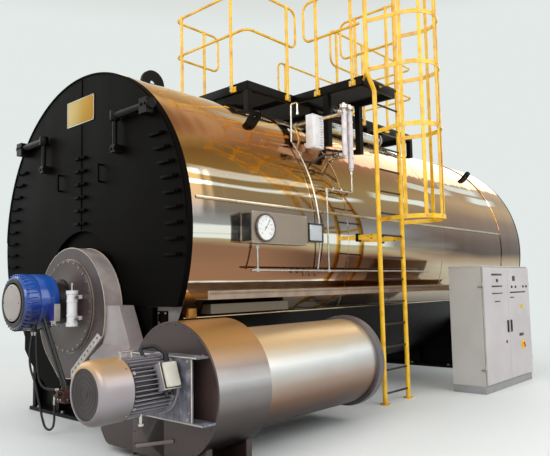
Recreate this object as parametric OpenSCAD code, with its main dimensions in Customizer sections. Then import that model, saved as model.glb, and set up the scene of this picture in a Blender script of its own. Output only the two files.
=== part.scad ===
// Industrial steam boiler: a horizontal fire-tube shell in polished cladding, with its burner,
// combustion air fan, control cabinet, caged ladder and top walkway.
// X is to the right of the front, Y runs back along the shell, Z is up. Y = 0 is the front end.

/* [Shell] */
// Outside diameter of the clad shell
shell_d = 3600; // [3400:20:3800]
// Length of the shell from front end to rear end
shell_l = 7940; // [7600:20:8400]
// Gap between the floor and the underside of the shell
belly_gap = 167; // [150:1:220]
// Thickness of shell plate, lagging and cladding together
wall_t = 120; // [80:5:160]
// Thickness of the front and rear end plates
end_t = 50; // [30:5:70]
// Length of the rear smoke chamber behind the raised seam
rear_chamber_l = 910; // [700:10:1100]
// Height at which the polished cladding ends on each side
drip_h = 1130; // [1100:5:1180]

/* [Front] */
// Thickness of the smokebox doors
door_t = 60; // [40:2:80]
// Height of the lower edge of the smokebox doors
door_low = 1230; // [1150:5:1300]
// Half width of the lower front plate
lower_half_w = 1280; // [1150:5:1340]
// Gap between neighbouring front plates
plate_gap = 8; // [4:1:12]
// Radius of the arch in the doors around the burner
arch_r = 760; // [720:5:800]
// Height of the centre of the burner arch
arch_h = 1280; // [1260:5:1300]
// Number of clamp bars down each side of the doors
clamp_n = 9; // [5:1:9]
// Spacing of the clamp bars
clamp_pitch = 145; // [120:5:150]
// Distance of the lowest clamp bar below the shell axis
clamp_drop = 260; // [220:5:300]

/* [Burner] */
// Height of the burner motor axis
burner_h = 1290; // [1270:5:1310]
// Radius of the burner motor
burner_motor_r = 283; // [265:1:295]
// Length of the burner motor with its neck
burner_motor_l = 500; // [440:10:520]
// Radius of the round part of the burner casing
volute_r = 660; // [620:5:680]
// Depth of the burner casing from front to back
volute_t = 200; // [180:5:220]
// Radius of the round cover on the casing
cover_r = 480; // [460:5:500]
// Thickness of the round cover
cover_t = 30; // [20:2:40]
// Thickness of the steel plate behind the burner
burner_plate_t = 12; // [10:1:20]

/* [Air fan] */
// Clear gap between the fan housing and the shell, measured across
fan_offset = 370; // [360:5:420]
// Height of the fan axis
fan_h = 610; // [590:5:640]
// Radius of the fan housing
fan_r = 530; // [500:5:540]
// Length of the fan housing
fan_l = 560; // [500:10:600]
// Radius of the intake silencer
silencer_r = 430; // [380:5:460]
// Length of the intake silencer
silencer_l = 1660; // [1400:10:1800]
// Radius of the fan motor cowl
motor_r = 220; // [200:5:235]
// Height of the cooling fins
fin_h = 26; // [18:1:32]
// Number of cooling fins round the motor
fin_n = 40; // [30:2:48]

/* [Walkway] */
// Height of the walkway top above the crown of the shell
deck_rise = 263; // [240:1:320]
// Half width of the walkway
walk_half_w = 700; // [680:5:760]
// Distance of the walkway front edge from the front end
walk_y = 1850; // [1800:10:1900]
// Length of the walkway
walk_l = 4160; // [3900:10:4400]
// Depth of the channels round the decks
channel_h = 120; // [100:5:140]
// Height of the top rail above the deck
rail_h = 1210; // [1100:5:1250]
// Height of the middle rail above the deck
knee_h = 670; // [600:5:700]
// Radius of the rail tubes
rail_r = 17; // [14:1:20]
// Radius of the posts
post_r = 22; // [20:1:26]
// Distance of the landing front edge from the front end
landing_y = 2750; // [2740:5:2800]
// Width of the landing along the shell
landing_w = 810; // [790:5:900]

/* [Ladder] */
// Clear gap between the ladder stiles and the shell
ladder_gap = 300; // [250:5:340]
// Distance between the stile centres
ladder_w = 528; // [480:4:560]
// Distance of the near stile from the front end
ladder_y = 2614; // [2600:2:2640]
// Height of the lowest rung
rung_low = 121; // [100:1:180]
// Spacing of the rungs
rung_pitch = 266; // [250:2:300]
// Radius of the round stiles
stile_r = 28; // [24:1:32]
// Radius of the rungs
rung_r = 12; // [10:1:16]
// Distance from the stiles to the outside of the cage
cage_depth = 695; // [650:5:760]
// Radius of the cage hoops
hoop_r = 345; // [320:5:360]

/* [Cabinet] */
// Clear gap between the cabinet back and the widest part of the shell
cabinet_gap = 545; // [520:5:650]
// Distance of the cabinet near side from the front end
cabinet_y = 3863; // [3800:1:3950]
// Width of the cabinet along the shell
cabinet_w = 1568; // [1400:4:1600]
// Depth of the cabinet
cabinet_d = 462; // [400:2:600]
// Height of the cabinet with its plinth
cabinet_h = 1590; // [1500:10:1800]
// Height of the plinth
plinth_h = 100; // [80:5:120]
// Thickness of the cabinet walls
cabinet_t = 25; // [20:1:30]
// Thickness of the cabinet doors
leaf_t = 20; // [16:1:26]

/* [Hidden] */
$fn = 72;
shell_fn = 360;
shell_r = shell_d / 2;
axis_h = belly_gap + shell_r;
crown_h = axis_h + shell_r;
seam_y = shell_l - rear_chamber_l;
deck_h = crown_h + deck_rise;
deck_under = deck_h - channel_h;
rail_top = deck_h + rail_h;
rail_knee = deck_h + knee_h;
eps = 1;
seat = 0.3;

// Half width of the shell at height z, and height of its top at distance x from the middle
function shell_x(z) = sqrt(shell_r * shell_r - (z - axis_h) * (z - axis_h));
function shell_top(x) = axis_h + sqrt(shell_r * shell_r - x * x);

// Middle of the near stile at height z: it steps out towards the front to pass the landing
function near_y(z) = ladder_y - step_out * max(0, min(1, (z - step_h) / step_rise));

// Front
seam_ring_w = 40;
seam_ring_t = 12;
long_seam_h = axis_h + 250;
strip_t = 14;
clamp_l = 220;
clamp_size = 30;
clamp_r = shell_r - 70;
clamp_h = axis_h - clamp_drop;
davit_h = axis_h + 1193;
davit_x = shell_r - 520;
davit_inner = davit_x - 540;
davit_r = 38;
davit_drop = 330;
davit_clear = 5;
lug_t = 40;
crown_lug_y = 890;
crown_lug_r = 165;
crown_lug_rise = 150;
side_lug_angle = 43;
side_lug_r = 75;
side_lug_ys = [1370, 6900];

// Supports
saddle_t = 60;
saddle_foot_w = 320;
saddle_foot_t = 40;
front_saddle_half = 1180;
rear_saddle_half = 1430;
rear_saddle_y = 6000;
saddle_top = axis_h - 967;
rib_w = 240;

// Burner
volute_back = -door_t - 10;
throat_r = 600;
volute_front = volute_back - volute_t;
volute_cx = 150;
volute_cz = 1180;
flange_angle = -20;
flange_top = [volute_cx + volute_r * cos(flange_angle), volute_cz + volute_r * sin(flange_angle)];
flange_low = [190, 500];
volute_tip = [-60, 490];
tip_angle = 229;
tip_side = [volute_cx + (volute_r - 3) * cos(tip_angle), volute_cz + (volute_r - 3) * sin(tip_angle)];
cover_pos = [130, 1240];
cover_front = volute_front - cover_t;
neck_l = 130;
neck_r = 200;
burner_motor_front = cover_front - burner_motor_l;
burner_ring_l = 45;
burner_ring_r = 246;
burner_cap_r = 182;
burner_cap_t = 15;
servo_size = [145, 55, 164];
servo_pos = [burner_motor_r - 38, cover_front - 260, 1106];
filter_r = 58;
filter_l = 358;
filter_pos = [434, cover_front - 105, 1045];
filter_arm = 40;
block_size = [150, 120, 150];
block_pos = [425, -560, 335];
strut_tops = [[190, -590, 1110], [228, -590, 1150]];
strut_low = [470, -500, 450];
strut_r = 16;
strut_gap = 60;
tee_y = -530;
tee_h = 380;
tee_r = 12;
nipple_r = 13;
nipple_h = 445;
nipple_xs = [342, 402];
gland_pos = [142, -648, 1000];
gland_r = 32;
gland_l = 80;

// Hoses from the burner motor, outer radius and the routes by hand
hose_r = 11;
hose_long_route = [
    [128, -655, gland_pos[2]], [128, -655, 988], [126, -656, 970], [112, -656, 930], [86, -654, 850], [66, -650, 760],
    [64, -645, 680], [84, -640, 610], [124, -634, 540], [162, -626, 450], [193, -617, 340],
    [223, -607, 230], [248, -596, 140], [274, -582, 80], [304, -562, 62], [330, -544, 80],
    [341, -534, 130], [343, -531, 200], [342, -530, 270], [342, tee_y, tee_h - 50]
];
hose_short_route = [
    [156, -640, gland_pos[2]], [156, -640, 988], [159, -633, 970], [158, -628, 920], [154, -624, 840], [149, -618, 760],
    [145, -610, 680], [143, -602, 610], [146, -594, 550], [162, -585, 498], [200, -573, 462],
    [250, -560, 448], [300, -548, 445], [350, -537, 445], [375, tee_y, nipple_h], [402, tee_y, nipple_h]
];

// Air duct and fan
fan_x = shell_r + fan_offset;
fan_back = 40;
fan_front = fan_back - fan_l;
disc_t = 15;
duct_back = volute_back - 20;
duct_front = volute_front + 20;
spout_low = fan_h - fan_r - 15;
spout_top = fan_h - 110;
spout_x = fan_x - fan_r + 10;
duct_leave = flange_low + 0.7 * (flange_top - flange_low);
duct_corner_r = 112;
duct_corner = [spout_x - 360, spout_low + duct_corner_r];
duct_bend = [spout_x - 273, spout_top];
duct_top = [1020, 1245];
slant_low = spout_top - 20;
slant_top = spout_top + 380;
duct_flange_t = 24;
strip_w = 60;
ring_l = 90;
ring_extra = 50;
motor_x = fan_x + 20;
motor_h = fan_h + 80;
stool_top = fan_h + 290;
stool_low = fan_h - 196;
stool_half_w = 360;
shelf_top_half = 420;
shelf_low_half = 480;
stool_plate_t = 16;
stool_front = -655;
stool_back = fan_front - disc_t;
motor_body_r = motor_r - fin_h;
motor_body_y = -1040;
cowl_y = -1295;
cowl_cap_r = 178;
cowl_round = 45;
motor_flange_t = 20;
tbox_size = [110, 150, 205];
tbox_tilt = 20;
tbox_back = stool_front - 25;
base_plate_t = 12;

// Gauge panel on the right side
panel_y = 610;
panel_w = 830;
panel_low = axis_h - 147;
panel_h = 310;
panel_out = 150;
display_w = 270;
display_low = panel_low + 42;
display_h = 200;
dial_y = 790;
dial_h = panel_low + 152;
dial_r = 140;
dial_t = 26;
pipe_r = 10;
header_h = panel_low - 260;
header_out = 40;
header_x = shell_r + header_out;
drop_pipe_y = 1950;
drop_pipe_h = axis_h + 533;
hook_y = 1810;
hook_angle = 38;
hook_top = axis_h + 1573;
hook_r = shell_r + strip_t + pipe_r + 8;
hook_low = 13;
hook_n = 6;
function hook_turn(i) = (hook_low + hook_angle) * i / hook_n - hook_low;
function hook_at(i) = [hook_r * cos(hook_turn(i)), hook_y, axis_h + hook_r * sin(hook_turn(i))];
hook_reach = 95;

// Level gear on the right side
level_x = shell_r - 50;
level_ys = [2460, 2580];
level_r = 33;
level_top = axis_h + 1593;
level_lows = [level_top - 630, level_top - 770];
level_ties = [level_top - 180, level_top - 540];
level_tie_r = 14;
stack_r = 62;
nozzle_hs = [level_top - 60, level_top - 598];
wheel_r = 52;
wheel_y = 2255;
level_box_size = [110, 210, 410];
level_box_h = axis_h + 1068;
level_box_pos = [shell_x(level_box_h) + 41, 2030, level_box_h];

// Steam outlet pipe under the landing
steam_r = 73;
steam_flange_r = 100;
steam_flange_t = 22;
steam_pcd = 160;
steam_bolt_r = 9;
steam_bolt_n = 8;
steam_bore_r = 40;
steam_x = 930;
steam_ys = [3000, 4480];
steam_z = axis_h + sqrt(pow(shell_r + steam_flange_r + 6, 2) - steam_x * steam_x);
manhole_y = 2250;
manhole_r = 250;
manhole_cover_r = 290;
manhole_rise = 95;

// Flue outlet on the rear end
flue_r = 400;
flue_t = 12;
flue_l = 180;
flue_flange_r = 470;
flue_flange_t = 20;
flue_pcd = 880;
flue_bolt_n = 12;
flue_bolt_r = 9;
flue_h = crown_h - 800;
hatch_r = 280;
hatch_t = 40;
hatch_h = belly_gap + 1100;

// Cable tray along the right side
tray_low = axis_h - 679;
tray_h = 77;
tray_out = shell_r + 50;
tray_t = 6;
tray_y = 130;
tray_end = 5200;
trunk_y = 250;
trunk_end = 1336;
trunk_low = tray_low - 133;
trunk_h = 88;
trunk_out = shell_r - 50;

// Walkway
web_t = 10;
deck_t = 30;
leg_size = 80;
leg_inset = 40;
walk_end = walk_y + walk_l;
landing_end = landing_y + landing_w;
landing_out = shell_r + 50;
bend_r = 110;
rail_side = 24;
rail_x = walk_half_w + rail_side;
front_rail_y = walk_y - rail_side;
rear_rail_y = walk_end + rail_side;
corner_l = bend_r + 60;
end_posts = [-575, 430];
front_left_posts = [380];
front_right_posts = [610];
rear_left_posts = [700, 1630];
rear_right_posts = [700, 1400, 2100];
landing_front_posts = [130, 700];
landing_rear_posts = [130, 650];
front_left_l = 810;
front_right_l = 940;
rear_left_start = 2200;
landing_gap = 230;
foot_low = 15 - channel_h;
foot_w = 95;
foot_h = 70;
foot_t = 14;

// Ladder
ladder_x = shell_r + ladder_gap;
ladder_far = ladder_y + ladder_w;
ladder_mid = ladder_y + ladder_w / 2;
step_h = deck_h - 290;
step_rise = 190;
step_out = 150;
foot_plate_t = 12;
foot_plate_r = 60;
tie_h = deck_under + 60;
tie_r = 14;
joint_extra = 0.5;
step_lap = 18;
cage_low = 2140;
hoop_hs = [cage_low + 20, cage_low + 1090, deck_under + 50, deck_h + 530, rail_top - 50];
hoop_w = 50;
hoop_t = 8;
bar_w = 44;
bar_angles = [-80, -40, 0, 40, 80];

// Cabinet
cabinet_x = shell_r + cabinet_gap;
cabinet_front = cabinet_x + cabinet_d;
carcass_d = cabinet_d - leaf_t - 6;
leaf_gap = 6;
leaf_side = 5;
leaf_low = plinth_h + 8;
leaf_h = cabinet_h - plinth_h - 16;
hinge_out = 8;
pin_r = 4;
pin_gap = 0.3;
knuckle_r = 9;
knuckle_h = 50;
hinge_hs = [300, 1340];
lug_h = 14;

// A round bar from p to q
module rod(p, q, r) {
    d = q - p;
    l = norm(d);
    translate(p)
        rotate([0, acos(d[2] / l), atan2(d[1], d[0])])
            cylinder(h = l, r = r, $fn = 32);
}

// A cylinder that lies along Y
module y_cyl(x, z, y0, y1, r) {
    translate([x, y0, z])
        rotate([-90, 0, 0])
            cylinder(h = y1 - y0, r = r);
}

// A cylinder that lies along X
module x_cyl(y, z, x0, x1, r) {
    translate([x0, y, z])
        rotate([0, 90, 0])
            cylinder(h = x1 - x0, r = r);
}

// A plate from y0 to y1 whose outline is drawn in X and Z
module y_plate(y0, y1) {
    translate([0, y1, 0])
        rotate([90, 0, 0])
            linear_extrude(y1 - y0)
                children();
}

module box_between(p, q) {
    translate(p)
        cube(q - p);
}

// A disc or drum about the shell axis
module drum(y0, y1, r) {
    y_cyl(0, axis_h, y0, y1, r, $fn = shell_fn);
}

// The clad shell as a solid, used to seat what stands on it
module shell_core() {
    drum(-eps, shell_l + eps, shell_r);
}

// A bent tube in the XY plane of its own frame, with round bends at its inner points
module bent_tube(pts, r, bend) {
    n = len(pts);
    for (i = [0 : n - 2]) {
        d = pts[i + 1] - pts[i];
        l = norm(d);
        u = d / l;
        cut0 = i == 0 ? 0 : bend_cut(pts[i - 1], pts[i], pts[i + 1], bend);
        cut1 = i == n - 2 ? 0 : bend_cut(pts[i], pts[i + 1], pts[i + 2], bend);
        a = pts[i] + u * cut0;
        b = pts[i + 1] - u * cut1;
        rod([a[0], a[1], 0], [b[0], b[1], 0], r);
    }
    for (i = [1 : n - 2])
        tube_bend(pts[i - 1], pts[i], pts[i + 1], r, bend);
}

function heading(a, b) = atan2(b[1] - a[1], b[0] - a[0]);
function turn(a, b, c) = let (t = heading(b, c) - heading(a, b)) t > 180 ? t - 360 : (t < -180 ? t + 360 : t);
function bend_cut(a, b, c, bend) = bend * tan(abs(turn(a, b, c)) / 2);

module tube_bend(a, b, c, r, bend) {
    t = turn(a, b, c);
    side = t > 0 ? 1 : -1;
    h = heading(a, b);
    start = b - bend_cut(a, b, c, bend) * [cos(h), sin(h)];
    centre = start + side * bend * [-sin(h), cos(h)];
    first = t > 0 ? h - 90 : h + 90 + t;
    translate([centre[0], centre[1], 0])
        rotate([0, 0, first])
            rotate_extrude(angle = abs(t))
                translate([bend, 0])
                    circle(r = r, $fn = 32);
}

// A tube that is swept through the route's points, eight sides round
function unit(v) = v / norm(v);
function route_dir(p, i) = unit(p[min(i + 1, len(p) - 1)] - p[max(i - 1, 0)]);
function ring_at(p, i, r) =
    let (d = route_dir(p, i), s = unit(cross(d, [0, 1, 0.1])), t = cross(s, d))
    [for (k = [0 : 7]) p[i] + r * (cos(k * 45) * s + sin(k * 45) * t)];
module hose(p, r) {
    n = len(p);
    pts = [for (i = [0 : n - 1]) each ring_at(p, i, r)];
    sides = [for (i = [0 : n - 2]) for (k = [0 : 7]) [
        i * 8 + k, i * 8 + (k + 1) % 8, (i + 1) * 8 + (k + 1) % 8, (i + 1) * 8 + k
    ]];
    start = [[for (k = [7 : -1 : 0]) k]];
    finish = [[for (k = [0 : 7]) (n - 1) * 8 + k]];
    polyhedron(points = pts, faces = concat(sides, start, finish));
}

// Shell and ends
module shell_cladding() {
    color("tan")
        difference() {
            union() {
                drum(end_t, shell_l - end_t, shell_r);
                drum(seam_y, seam_y + seam_ring_w, shell_r + seam_ring_t);
                for (side = [-1, 1]) {
                    side_strip(side, drip_h - strip_t, drip_h);
                    side_strip(side, long_seam_h, long_seam_h + 2 * strip_t);
                }
            }
            drum(end_t - eps, shell_l - end_t + eps, shell_r - wall_t);
        }
}

// A flat strip along one side of the shell
module side_strip(side, low, high) {
    x = shell_x((low + high) / 2);
    translate([side > 0 ? x - strip_t * 2 : -x - strip_t, end_t, low])
        cube([strip_t * 3, seam_y - end_t, high - low]);
}

module front_end_plate() {
    color("silver")
        drum(0, end_t, shell_r);
}

module rear_end_plate() {
    color("dimgray") {
        difference() {
            union() {
                drum(shell_l - end_t, shell_l, shell_r);
                y_cyl(0, hatch_h, shell_l, shell_l + hatch_t, hatch_r);
            }
            y_cyl(0, flue_h, shell_l - end_t - eps, shell_l + eps, flue_r - flue_t);
        }
    }
}

module flue_outlet() {
    color("dimgray")
        difference() {
            union() {
                y_cyl(0, flue_h, shell_l, shell_l + flue_l, flue_r);
                y_cyl(0, flue_h, shell_l + flue_l - flue_flange_t, shell_l + flue_l, flue_flange_r);
            }
            y_cyl(0, flue_h, shell_l - eps, shell_l + flue_l + eps, flue_r - flue_t);
            for (i = [0 : flue_bolt_n - 1]) {
                a = (i + 0.5) * 360 / flue_bolt_n;
                y_cyl(flue_pcd / 2 * cos(a), flue_h + flue_pcd / 2 * sin(a),
                    shell_l + flue_l - flue_flange_t - eps, shell_l + flue_l + eps, flue_bolt_r);
            }
        }
}

// Front doors: each is half of the disc above the lower plate, with the burner arch cut out
module smokebox_door(side) {
    difference() {
        y_plate(-door_t, 0)
            intersection() {
                translate([0, axis_h])
                    circle(r = shell_r, $fn = shell_fn);
                translate([side > 0 ? plate_gap / 2 : -shell_r, door_low])
                    square([shell_r - plate_gap / 2, shell_d]);
            }
        y_cyl(0, arch_h, -door_t - eps, eps, arch_r);
    }
}

module smokebox_door_left() {
    color("black")
        smokebox_door(-1);
}

module smokebox_door_right() {
    color("black")
        smokebox_door(1);
}

module lower_front_plate() {
    color("black") {
        difference() {
            y_plate(-door_t, 0)
                intersection() {
                    translate([0, axis_h])
                        circle(r = shell_r, $fn = shell_fn);
                    translate([-lower_half_w, 0])
                        square([2 * lower_half_w, door_low - plate_gap]);
                }
            y_cyl(0, arch_h, -door_t - eps, eps, arch_r);
        }
        y_cyl(0, arch_h, -burner_plate_t, 0, arch_r - 2);
        y_plate(-burner_plate_t, 0)
            intersection() {
                translate([0, arch_h])
                    circle(r = arch_r + 10);
                translate([-shell_r, 0])
                    square([shell_d, door_low - plate_gap]);
            }
        y_cyl(cover_pos[0], cover_pos[1], volute_back, -burner_plate_t + eps, throat_r);
    }
}

// Clamp bars that hold the doors shut, down both rims and the middle seam
module door_clamps() {
    color("black")
        difference() {
            union() {
                for (i = [0 : clamp_n - 1]) {
                    z = clamp_h + i * clamp_pitch;
                    x = sqrt(clamp_r * clamp_r - pow(z - axis_h, 2));
                    for (side = [-1, 1])
                        clamp_bar(side * x, z);
                }
                for (z = [arch_h + arch_r + 80 : clamp_pitch : clamp_h + (clamp_n - 1) * clamp_pitch - 60])
                    clamp_bar(0, z);
            }
            for (side = [-1, 1])
                davit_plates(side, davit_clear);
        }
}

module clamp_bar(x, z) {
    inner = x > 0 ? x - clamp_l : (x < 0 ? x : -clamp_l / 2);
    box_between(
        [inner, -door_t - clamp_size, z - clamp_size / 2],
        [inner + clamp_l, -door_t, z + clamp_size / 2]
    );
}

// Davit arms at the shoulders from which the doors hang when they are unbolted
module davit_arms() {
    color("black")
        for (side = [-1, 1]) {
            rod([side * davit_inner, -door_t - 60, davit_h], [side * davit_x, -door_t - 60, davit_h], davit_r);
            rod([side * davit_inner, -door_t - 60, davit_h], [side * davit_inner, -door_t - 60, davit_h - davit_drop], 24);
            davit_plates(side, 0);
        }
}

// The blocks by which a davit is bolted to its door, grown all round by a clearance
module davit_plates(side, clear) {
    box_between(
        [side * davit_x - 60 - clear, -door_t - 110, davit_h - 90 - clear],
        [side * davit_x + 60 + clear, -door_t, davit_h + 60 + clear]
    );
    box_between(
        [side * davit_inner - 40 - clear, -door_t - 90, davit_h - davit_drop - 50 - clear],
        [side * davit_inner + 40 + clear, -door_t, davit_h - davit_drop + 30 + clear]
    );
}

// Lifting eyes: one on the crown and four on the shoulders
module lifting_lugs() {
    color("black") {
        lug(0, crown_lug_y, crown_lug_r, crown_lug_rise, 45);
        for (side = [-1, 1])
            for (y = side_lug_ys)
                lug(side * side_lug_angle, y, side_lug_r, side_lug_r, 26);
    }
}

module lug(angle, y, r, rise, hole_r) {
    difference() {
        translate([0, 0, axis_h])
            rotate([0, angle, 0])
                difference() {
                    union() {
                        x_cyl(y, shell_r + rise, -lug_t / 2, lug_t / 2, r);
                        translate([-lug_t / 2, y - r, shell_r - 40])
                            cube([lug_t, 2 * r, rise + 40]);
                    }
                    x_cyl(y, shell_r + rise, -lug_t, lug_t, hole_r);
                }
        shell_core();
    }
}

// Transverse saddles that carry the shell
module saddle(y, half) {
    difference() {
        union() {
            y_plate(y - saddle_t / 2, y + saddle_t / 2)
                polygon([
                    [-half, saddle_foot_t], [half, saddle_foot_t],
                    [half, saddle_top], [-half, saddle_top]
                ]);
            for (x = [-half, -half / 2 - saddle_t / 2, half / 2 - saddle_t / 2, half - saddle_t])
                translate([x, y - rib_w / 2, saddle_foot_t])
                    cube([saddle_t, rib_w, saddle_top - saddle_foot_t]);
            translate([-half, y - saddle_foot_w / 2, 0])
                cube([2 * half, saddle_foot_w, saddle_foot_t]);
        }
        shell_core();
    }
}

module front_saddle() {
    color("black")
        saddle(rib_w / 2, front_saddle_half);
}

module rear_saddle() {
    color("black")
        saddle(rear_saddle_y, rear_saddle_half);
}

// Burner casing: a round scroll that is cut straight where the air duct is bolted on
module volute_outline() {
    run = flange_top - flange_low;
    difference() {
        union() {
            translate([volute_cx, volute_cz])
                circle(r = volute_r, $fn = 120);
            polygon([
                [volute_cx, volute_cz], tip_side, volute_tip,
                2 * flange_low - volute_tip, [flange_top[0], volute_cz - 180]
            ]);
        }
        polygon([flange_low - run, flange_top + run, [3 * volute_r, flange_top[1]], [3 * volute_r, -volute_r]]);
    }
}

module burner_volute() {
    color("dimgray")
        y_plate(volute_front, volute_back)
            volute_outline();
}

module volute_cover() {
    color("gray") {
        y_cyl(cover_pos[0], cover_pos[1], cover_front, volute_front, cover_r);
        y_cyl(0, burner_h, cover_front - neck_l, cover_front + eps, neck_r);
    }
}

module burner_motor() {
    color("royalblue") {
        y_cyl(0, burner_h, burner_motor_front + burner_ring_l, cover_front - neck_l, burner_motor_r);
        y_cyl(0, burner_h, burner_motor_front, burner_motor_front + burner_ring_l, burner_ring_r);
        y_cyl(0, burner_h, burner_motor_front - burner_cap_t, burner_motor_front, burner_cap_r);
        translate(gland_pos)
            cylinder(h = gland_l, r = gland_r);
    }
}

module burner_servo() {
    color("midnightblue")
        difference() {
            translate(servo_pos)
                cube(servo_size);
            y_cyl(0, burner_h, burner_motor_front, cover_front, burner_motor_r);
        }
}

module filter_cylinder() {
    color("white") {
        translate(filter_pos)
            cylinder(h = filter_l, r = filter_r);
        for (z = [filter_pos[2] + 60, filter_pos[2] + filter_l - 90])
            box_between([filter_pos[0] - 15, filter_pos[1], z], [filter_pos[0] + 15, cover_front, z + filter_arm]);
    }
}

module fuel_block() {
    color("saddlebrown") {
        translate(block_pos)
            cube(block_size);
        difference() {
            for (i = [0, 1])
                rod(strut_tops[i], strut_low + [i * strut_gap, 0, 0], strut_r);
            y_cyl(0, burner_h, burner_motor_front, cover_front, burner_motor_r);
        }
        rod([block_pos[0] - 90, tee_y, tee_h], [block_pos[0] + 10, tee_y, tee_h], tee_r);
        rod([nipple_xs[0], tee_y, tee_h - 50], [nipple_xs[0], tee_y, tee_h], nipple_r);
        rod([nipple_xs[1], tee_y, nipple_h], [block_pos[0] + 5, tee_y, nipple_h], nipple_r);
    }
}

module hose_long() {
    color("black")
        hose(hose_long_route, hose_r);
}

module hose_short() {
    color("black")
        hose(hose_short_route, hose_r);
}

// Air duct from the fan to the straight flange of the burner casing
module air_duct() {
    color("lightgray")
        difference() {
            y_plate(fan_front, duct_back)
                difference() {
                    duct_outline();
                    translate([volute_cx, volute_cz])
                        circle(r = volute_r + seat, $fn = 120);
                }
            rotate([90, 0, 90])
                linear_extrude(spout_x + 2 * eps)
                    polygon([
                        [fan_front - eps, slant_low], [duct_front, slant_top],
                        [duct_front, shell_d], [fan_front - eps, shell_d]
                    ]);
        }
}

// Side outline of the duct, with its rounded corner near the floor
module duct_outline() {
    polygon(concat(
        [duct_leave + [seat, -seat]],
        [for (a = [220 : 10 : 270]) duct_corner + duct_corner_r * [cos(a), sin(a)]],
        [[spout_x, spout_low], [spout_x, spout_top], duct_bend, duct_top],
        [[flange_top[0], duct_top[1]], flange_top + [seat, -seat]]
    ));
}

// Fan housing with the outlet spout that meets the duct
module fan_housing() {
    color("darkgray") {
        y_cyl(fan_x, fan_h, fan_front, fan_back, fan_r, $fn = shell_fn / 2);
        box_between([spout_x, fan_front, spout_low], [fan_x, duct_back, spout_top]);
    }
}

module fan_front_disc() {
    color([0.28, 0.22, 0.21]) {
        y_cyl(fan_x, fan_h, fan_front - disc_t, fan_front, fan_r, $fn = shell_fn / 2);
        box_between([spout_x, fan_front - disc_t, spout_low], [fan_x, fan_front, spout_top]);
    }
}

// Stool between the fan and its motor: top and bottom shelves and an upright plate
module motor_stool() {
    color("gray") {
        for (s = [[stool_low, shelf_low_half], [stool_top - stool_plate_t, shelf_top_half]])
            box_between([motor_x - s[1], stool_front, s[0]], [motor_x + s[1], stool_back, s[0] + stool_plate_t]);
        difference() {
            box_between(
                [motor_x - stool_half_w, stool_front, stool_low],
                [motor_x + stool_half_w, stool_front + stool_plate_t, stool_top]
            );
            y_cyl(motor_x, motor_h, stool_front - eps, stool_front + stool_plate_t + eps, 90);
        }
        y_cyl(motor_x, motor_h, stool_front, stool_back, 45);
    }
}

module fan_motor_body() {
    color("gray") {
        y_cyl(motor_x, motor_h, motor_body_y, stool_front - motor_flange_t, motor_body_r);
        y_cyl(motor_x, motor_h, stool_front - motor_flange_t, stool_front, motor_r + 8);
        for (i = [0 : fin_n - 1])
            translate([motor_x, 0, motor_h])
                rotate([0, i * 360 / fin_n, 0])
                    translate([-3, motor_body_y, motor_body_r - 4])
                        cube([6, stool_front - motor_flange_t - motor_body_y, fin_h + 4]);
    }
}

// Smooth cowl with a rounded shoulder and a round grille plate in its end
module fan_motor_cowl() {
    color("silver")
        translate([motor_x, cowl_y, motor_h])
            rotate([-90, 0, 0])
                rotate_extrude()
                    difference() {
                        union() {
                            translate([0, cowl_round])
                                square([motor_r + 6, motor_body_y - cowl_y - cowl_round]);
                            square([motor_r + 6 - cowl_round, motor_body_y - cowl_y]);
                            translate([motor_r + 6 - cowl_round, cowl_round])
                                circle(r = cowl_round);
                        }
                        translate([-2 * motor_r, -motor_r])
                            square([2 * motor_r, 4 * motor_r]);
                    }
}

module terminal_box() {
    color("lightgray")
        difference() {
            translate([motor_x, tbox_back - tbox_size[1], motor_h])
                rotate([0, -tbox_tilt, 0])
                    translate([motor_r - 45, 0, -tbox_size[2] / 2])
                        cube(tbox_size);
            y_cyl(motor_x, motor_h, motor_body_y, stool_front, motor_r + 1);
        }
}

// Intake silencer with its end ring
module inlet_silencer() {
    color("silver")
        y_cyl(fan_x, fan_h, fan_back, fan_back + silencer_l, silencer_r);
}

module silencer_ring() {
    color("gray")
        y_cyl(fan_x, fan_h, fan_back + silencer_l, fan_back + silencer_l + ring_l, silencer_r + ring_extra);
}

// Feet under the fan housing
module fan_base() {
    color([0.28, 0.22, 0.21])
        difference() {
            union() {
                for (y = [fan_front + 40, fan_back - 100])
                    translate([fan_x - 330, y, base_plate_t])
                        cube([660, 60, 260]);
                translate([fan_x - 380, fan_front, 0])
                    cube([760, fan_l, base_plate_t]);
            }
            y_cyl(fan_x, fan_h, fan_front - eps, fan_back + eps, fan_r, $fn = shell_fn / 2);
            box_between([spout_x - eps, fan_front - eps, spout_low - seat], [fan_x, duct_back + eps, spout_top]);
        }
}

// Gauge panel and display on the right side of the shell
module gauge_panel() {
    color("gray")
        difference() {
            union() {
                box_between([shell_r - 80, panel_y, panel_low],
                    [shell_r + panel_out, panel_y + panel_w, panel_low + panel_h]);
                box_between([shell_r - 80, panel_y + panel_w, display_low],
                    [shell_r + panel_out, panel_y + panel_w + display_w, display_low + display_h]);
            }
            shell_core();
        }
}

module gauge_dial() {
    color("white")
        x_cyl(dial_y, dial_h, shell_r + panel_out, shell_r + panel_out + dial_t, dial_r);
}

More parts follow.
